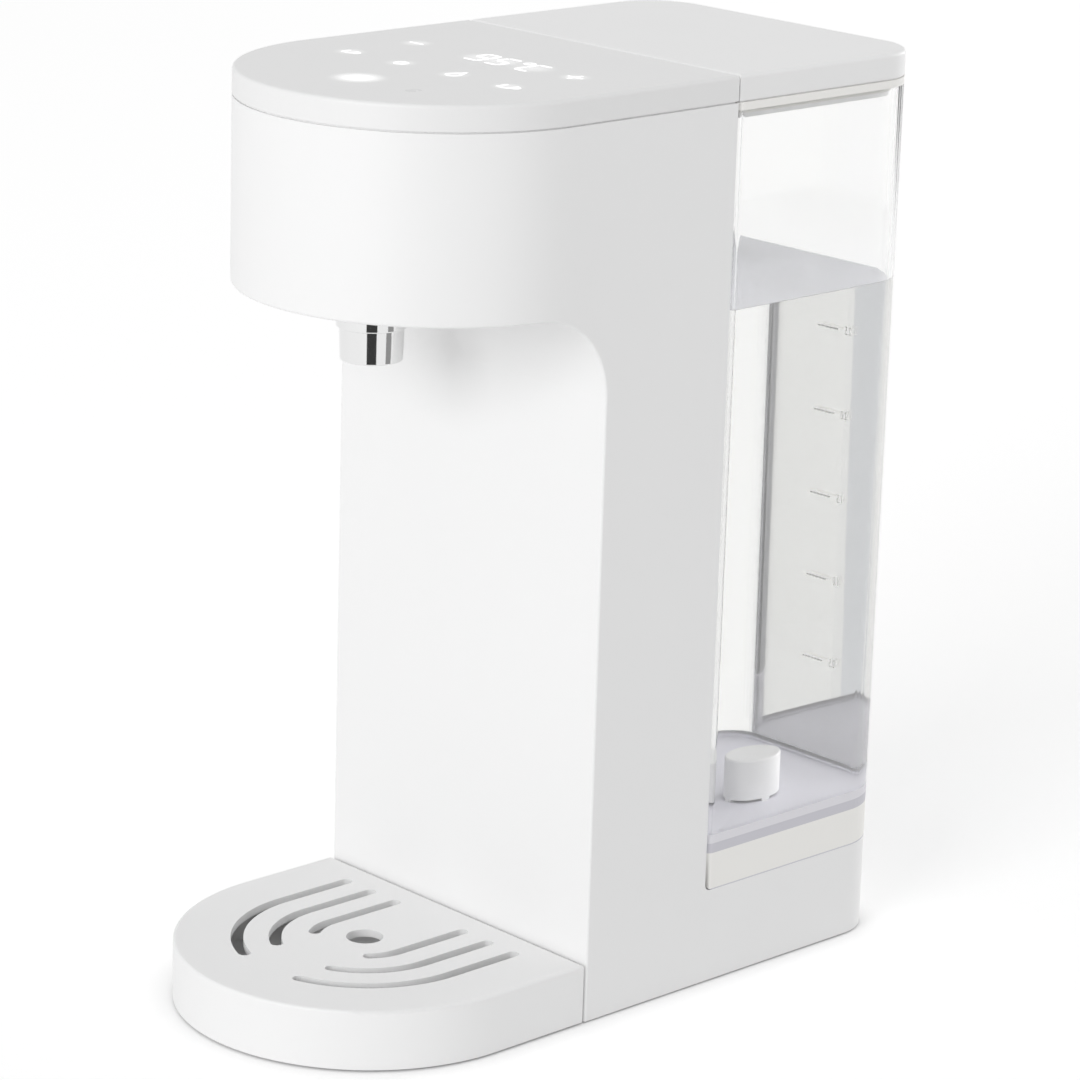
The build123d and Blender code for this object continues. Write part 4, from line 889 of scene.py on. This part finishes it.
class DISPENSER_OT_fittings(Operator):
    """Add cross-recess screws, rubber feet, the cable gland and the valve's spring"""
    bl_idname = "dispenser.fittings"
    bl_label = "Fittings"

    def execute(self, context):
        fittings = context.scene.dispenser_fittings
        steel, rubber = drawn_steel(), moulding("black_nitrile_rubber")
        backward, downward = Matrix.Rotation(-pi / 2, 4, "X"), Matrix.Rotation(pi, 4, "X")
        self.add_screws(fittings, steel, "rear_panel_screws", 1, 1, backward)
        self.add_screws(fittings, steel, "bottom_screws", 2, 0, downward)
        self.add_feet(fittings, rubber)
        self.add_gland(fittings, rubber)
        self.add_spring(steel)
        return {"FINISHED"}

    def add_screws(self, fittings, material, node, axis, end, turn):
        """Screws in a node's places, their heads at one end of an axis."""
        bm = bmesh.new()
        boxes = solid_boxes(node)
        self.add_screw(bm, fittings, boxes[0][1][axis] - boxes[0][0][axis])
        pattern = whole(bm)
        for box in boxes:
            to = middle(box)
            to[axis] = box[end][axis]
            made = bmesh.ops.duplicate(bm, geom=pattern)["geom"]
            bmesh.ops.transform(bm, matrix=Matrix.Translation(to) @ turn, verts=verts_of(made))
        bmesh.ops.delete(bm, geom=verts_of(pattern), context="VERTS")
        new_piece(node.replace("screws", "cross_screws"), bm, material, "housing", "steel", node)

    def add_screw(self, bm, fittings, long):
        """Pan-head screw, its face at z = 0 and its tip below, with a cross recess."""
        head, shank = fittings.screw_head / 2, fittings.screw_shank / 2
        rounding, depth = fittings.screw_round, fittings.screw_height
        add_plus(bm, head * RECESS_SIZE, head * RECESS_LINE, (0, 0, 0))
        floor = bm.faces[:]
        bmesh.ops.bisect_edges(bm, edges=floor[0].edges[:], cuts=1)
        made = bmesh.ops.extrude_face_region(bm, geom=floor, use_keep_orig=True)["geom"]
        top = faces_of(made)
        inner = top[0].edges[:]
        bmesh.ops.translate(bm, verts=floor[0].verts[:], vec=(0, 0, -fittings.screw_recess))
        bmesh.ops.delete(bm, geom=top, context="FACES_ONLY")
        rim = bmesh.ops.create_circle(bm, segments=len(inner), radius=head - rounding)["verts"]
        ring = [edge for edge in bm.edges if set(edge.verts) <= set(rim)]
        bmesh.ops.bridge_loops(bm, edges=inner + ring)
        for radius, height in ((head, -rounding), (head, -depth), (shank, -depth),
                               (shank, shank - long), (shank * SCREW_TIP, -long)):
            made = bmesh.ops.extrude_edge_only(bm, edges=ring)["geom"]
            ring = [edge for edge in of_kind(made, bmesh.types.BMEdge)
                    if all(len(vert.link_faces) == 2 for vert in edge.verts)]
            for vert in {vert for edge in ring for vert in edge.verts}:
                vert.co.xy = radius * vert.co.xy.normalized()
                vert.co.z = height
        bmesh.ops.holes_fill(bm, edges=ring)

    def add_feet(self, fittings, material):
        """Push-in feet with a hollow sole and a rolled edge."""
        bm = bmesh.new()
        pad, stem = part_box("bottom_plate")[0].z, fittings.foot_stem / 2
        for low, high in solid_boxes("rubber_feet"):
            radius = (high.x - low.x) / 2
            points = [(radius * out, pad * up) for out, up in FOOT_SOLE]
            turned = add_turned(bm, points + [(stem, pad), (stem, high.z), (0, high.z)])
            place(bm, turned, (*middle((low, high)).to_2d(), 0))
        new_piece("moulded_feet", bm, material, "housing", "black_rubber", "rubber_feet")

    def add_gland(self, fittings, material):
        """Cable gland: a flanged bush with a grooved mouth, its bore open."""
        low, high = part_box("cable_gland")
        flange, deep = (high.x - low.x) / 2, high.y - low.y
        bore, neck = fittings.gland_bore / 2, fittings.gland_neck / 2
        lip = (neck - bore) / 3
        rounding, groove_floor = lip / 3, deep - lip / 2
        groove_outer, groove_inner = neck - lip, neck - lip * GROOVE_END
        points = [(bore, 0), (flange, 0), (flange, fittings.gland_flange),
                  (neck, fittings.gland_flange), (neck, deep - rounding), (neck - rounding, deep),
                  (groove_outer, deep), (groove_outer, groove_floor), (groove_inner, groove_floor),
                  (groove_inner, deep), (bore + lip / 2, deep), (bore, groove_floor), (bore, 0)]
        bm = bmesh.new()
        turned = add_turned(bm, points)
        centre = middle((low, high))
        backward = Matrix.Rotation(-pi / 2, 4, "X")
        bmesh.ops.transform(bm, matrix=Matrix.Translation((centre.x, low.y, centre.z)) @ backward,
                            verts=turned)
        new_piece("cable_bush", bm, material, "housing", "black_rubber", "cable_gland")

    def add_spring(self, material):
        """Valve spring between the stem below it and the cap above it, a still copy of its shape.
        """
        spring = new_object("coiled_spring", merged_copy("valve_spring"), material)
        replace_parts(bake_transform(spring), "valve_spring")


class DISPENSER_OT_works(Operator):
    """Finish the pieces inside: hoses, pump, heater, boards and seals"""
    bl_idname = "dispenser.works"
    bl_label = "Inner works"

    def execute(self, context):
        for name, nodes in WORKS.items():
            finish(moulding(name), *nodes)
        finish(bpy.data.materials["drawn_stainless_steel"], *STEEL_WORKS)
        return {"FINISHED"}


class DISPENSER_OT_stage(Operator):
    """Set up the floor, light and camera"""
    bl_idname = "dispenser.stage"
    bl_label = "Studio"

    def execute(self, context):
        scene = context.scene
        stage = scene.dispenser_stage
        scene.view_settings.view_transform = "Standard"
        self.add_floor(stage)
        self.add_world(scene, stage)
        self.add_light(stage)
        self.add_flags(stage, scene.dispenser_tank.water_level)
        self.add_camera(scene, stage)
        return {"FINISHED"}

    def add_floor(self, stage):
        bm = bmesh.new()
        bmesh.ops.create_grid(bm, x_segments=1, y_segments=1, size=stage.floor_size / 2)
        new_object("floor", bm, sweep_paper())

    def add_world(self, scene, stage):
        """White where it is seen, and an even fill light for all else."""
        scene.world = bpy.data.worlds.new("white_studio")
        scene.world.use_nodes = True
        tree = scene.world.node_tree
        tree.nodes.clear()
        strength = spread(tree, seen_directly(tree), stage.fill, 1.0)
        sky = add_node(tree, "Background", {"Color": WHITE, "Strength": strength})
        add_node(tree, "OutputWorld", {"Surface": sky.outputs[0]})

    def add_light(self, stage):
        """Softboxes in front and behind, and one that lights only the tank and what is in it."""
        self.add_softbox(stage, "front_softbox", "key")
        self.add_softbox(stage, "rear_softbox", "back")
        side = self.add_softbox(stage, "side_softbox", "side")
        lit_by_side = bpy.data.collections.new("lit_by_side_softbox")
        for piece in ("tank_shell", "tank_water", "level_marks", NODES["valve_cap"].name,
                      NODES["lid_gasket"].name):
            lit_by_side.objects.link(bpy.data.objects[piece])
        side.light_linking.receiver_collection = lit_by_side

    def add_softbox(self, stage, name, setting):
        azimuth, elevation, power = (getattr(stage, f"{setting}_{part}")
                                     for part in ("azimuth", "elevation", "power"))
        lamp = bpy.data.lights.new(name, "AREA")
        lamp.shape = "SQUARE"
        lamp.size = stage.lamp_size
        lamp.energy = power
        box = bpy.data.objects.new(name, lamp)
        out = direction(azimuth, elevation)
        box.location = Vector((0, 0, stage.target_z)) + stage.lamp_distance * out
        box.rotation_euler = out.to_track_quat("Z", "Y").to_euler()
        bpy.context.scene.collection.objects.link(box)
        return box

    def add_flags(self, stage, water_level):
        """Two cards that the nozzle mirrors, and one that the water in the tank shows."""
        nozzle = middle(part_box("nozzle_ring"))
        for name, (code, *turns) in NOZZLE_FLAGS.items():
            ends = [nozzle + stage.flag_distance * direction(radians(turn), 0) for turn in turns]
            self.add_flag(name, ends, stage.flag_height, code, "glossy")
        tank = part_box("water_tank")[0]
        ends = [(tank.x - stage.side_flag_gap, tank.y + y) for y in (0, stage.side_flag_width)]
        self.add_flag("side_flag", ends, water_level, SIDE_FLAG, "transmission")

    def add_flag(self, name, ends, height, code, seen_by):
        """Upright card that only mirrors or only clear pieces show, for the bands that shape
        them."""
        material, tree = new_material(name)
        show(tree, add_node(tree, "Emission", {"Color": (*linear(code), 1)}))
        bm = bmesh.new()
        foot = bm.edges.new([bm.verts.new((end[0], end[1], 0)) for end in ends])
        made = bmesh.ops.extrude_edge_only(bm, edges=[foot])["geom"]
        bmesh.ops.translate(bm, verts=verts_of(made), vec=(0, 0, height))
        flag = new_object(name, bm, material)
        for ray in ("camera", "diffuse", "glossy", "transmission", "shadow"):
            setattr(flag, "visible_" + ray, ray == seen_by)

    def add_camera(self, scene, stage):
        camera = bpy.data.cameras.new("camera")
        camera.lens = stage.lens
        camera.clip_end = stage.floor_size
        eye = bpy.data.objects.new("camera", camera)
        back = direction(stage.azimuth, stage.elevation)
        right = Vector((cos(stage.azimuth), sin(stage.azimuth), 0))
        turn = Matrix((right, back.cross(right), back)).transposed()
        turn = turn @ Matrix.Rotation(stage.roll, 3, "Z")
        target = Vector((0, stage.target_y, stage.target_z))
        eye.matrix_world = Matrix.Translation(target + stage.distance * back) @ turn.to_4x4()
        scene.collection.objects.link(eye)
        scene.camera = eye


class DISPENSER_PT_sidebar(Panel):
    """Steps and settings of the dispenser"""
    bl_idname = "DISPENSER_PT_sidebar"
    bl_label = "Hot Water Dispenser"
    bl_space_type = "VIEW_3D"
    bl_region_type = "UI"
    bl_category = "Dispenser"

    def draw(self, context):
        for operator in OPERATORS:
            self.layout.operator(operator.bl_idname)
        for name in SETTINGS:
            box = self.layout.box()
            group = getattr(context.scene, name)
            for key in group.__annotations__:
                box.prop(group, key)


SETTINGS = {
    "dispenser_finishes": DispenserFinishes,
    "dispenser_panel": DispenserPanel,
    "dispenser_tank": DispenserTank,
    "dispenser_fittings": DispenserFittings,
    "dispenser_stage": DispenserStage,
}
OPERATORS = (DISPENSER_OT_housing, DISPENSER_OT_panel, DISPENSER_OT_nozzle, DISPENSER_OT_tank,
             DISPENSER_OT_fittings, DISPENSER_OT_works, DISPENSER_OT_stage)


def register():
    for group in SETTINGS.values():
        bpy.utils.register_class(group)
    for name, group in SETTINGS.items():
        setattr(bpy.types.Scene, name, PointerProperty(type=group))
    for operator in OPERATORS:
        bpy.utils.register_class(operator)
    bpy.utils.register_class(DISPENSER_PT_sidebar)


def unregister():
    bpy.utils.unregister_class(DISPENSER_PT_sidebar)
    for operator in reversed(OPERATORS):
        bpy.utils.unregister_class(operator)
    for name in SETTINGS:
        delattr(bpy.types.Scene, name)
    for group in reversed(SETTINGS.values()):
        bpy.utils.unregister_class(group)


def main():
    register()
    bpy.ops.dispenser.housing()
    bpy.ops.dispenser.panel()
    bpy.ops.dispenser.nozzle()
    bpy.ops.dispenser.tank()
    bpy.ops.dispenser.fittings()
    bpy.ops.dispenser.works()
    bpy.ops.dispenser.stage()
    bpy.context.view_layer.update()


if __name__ == "__main__":
    main()
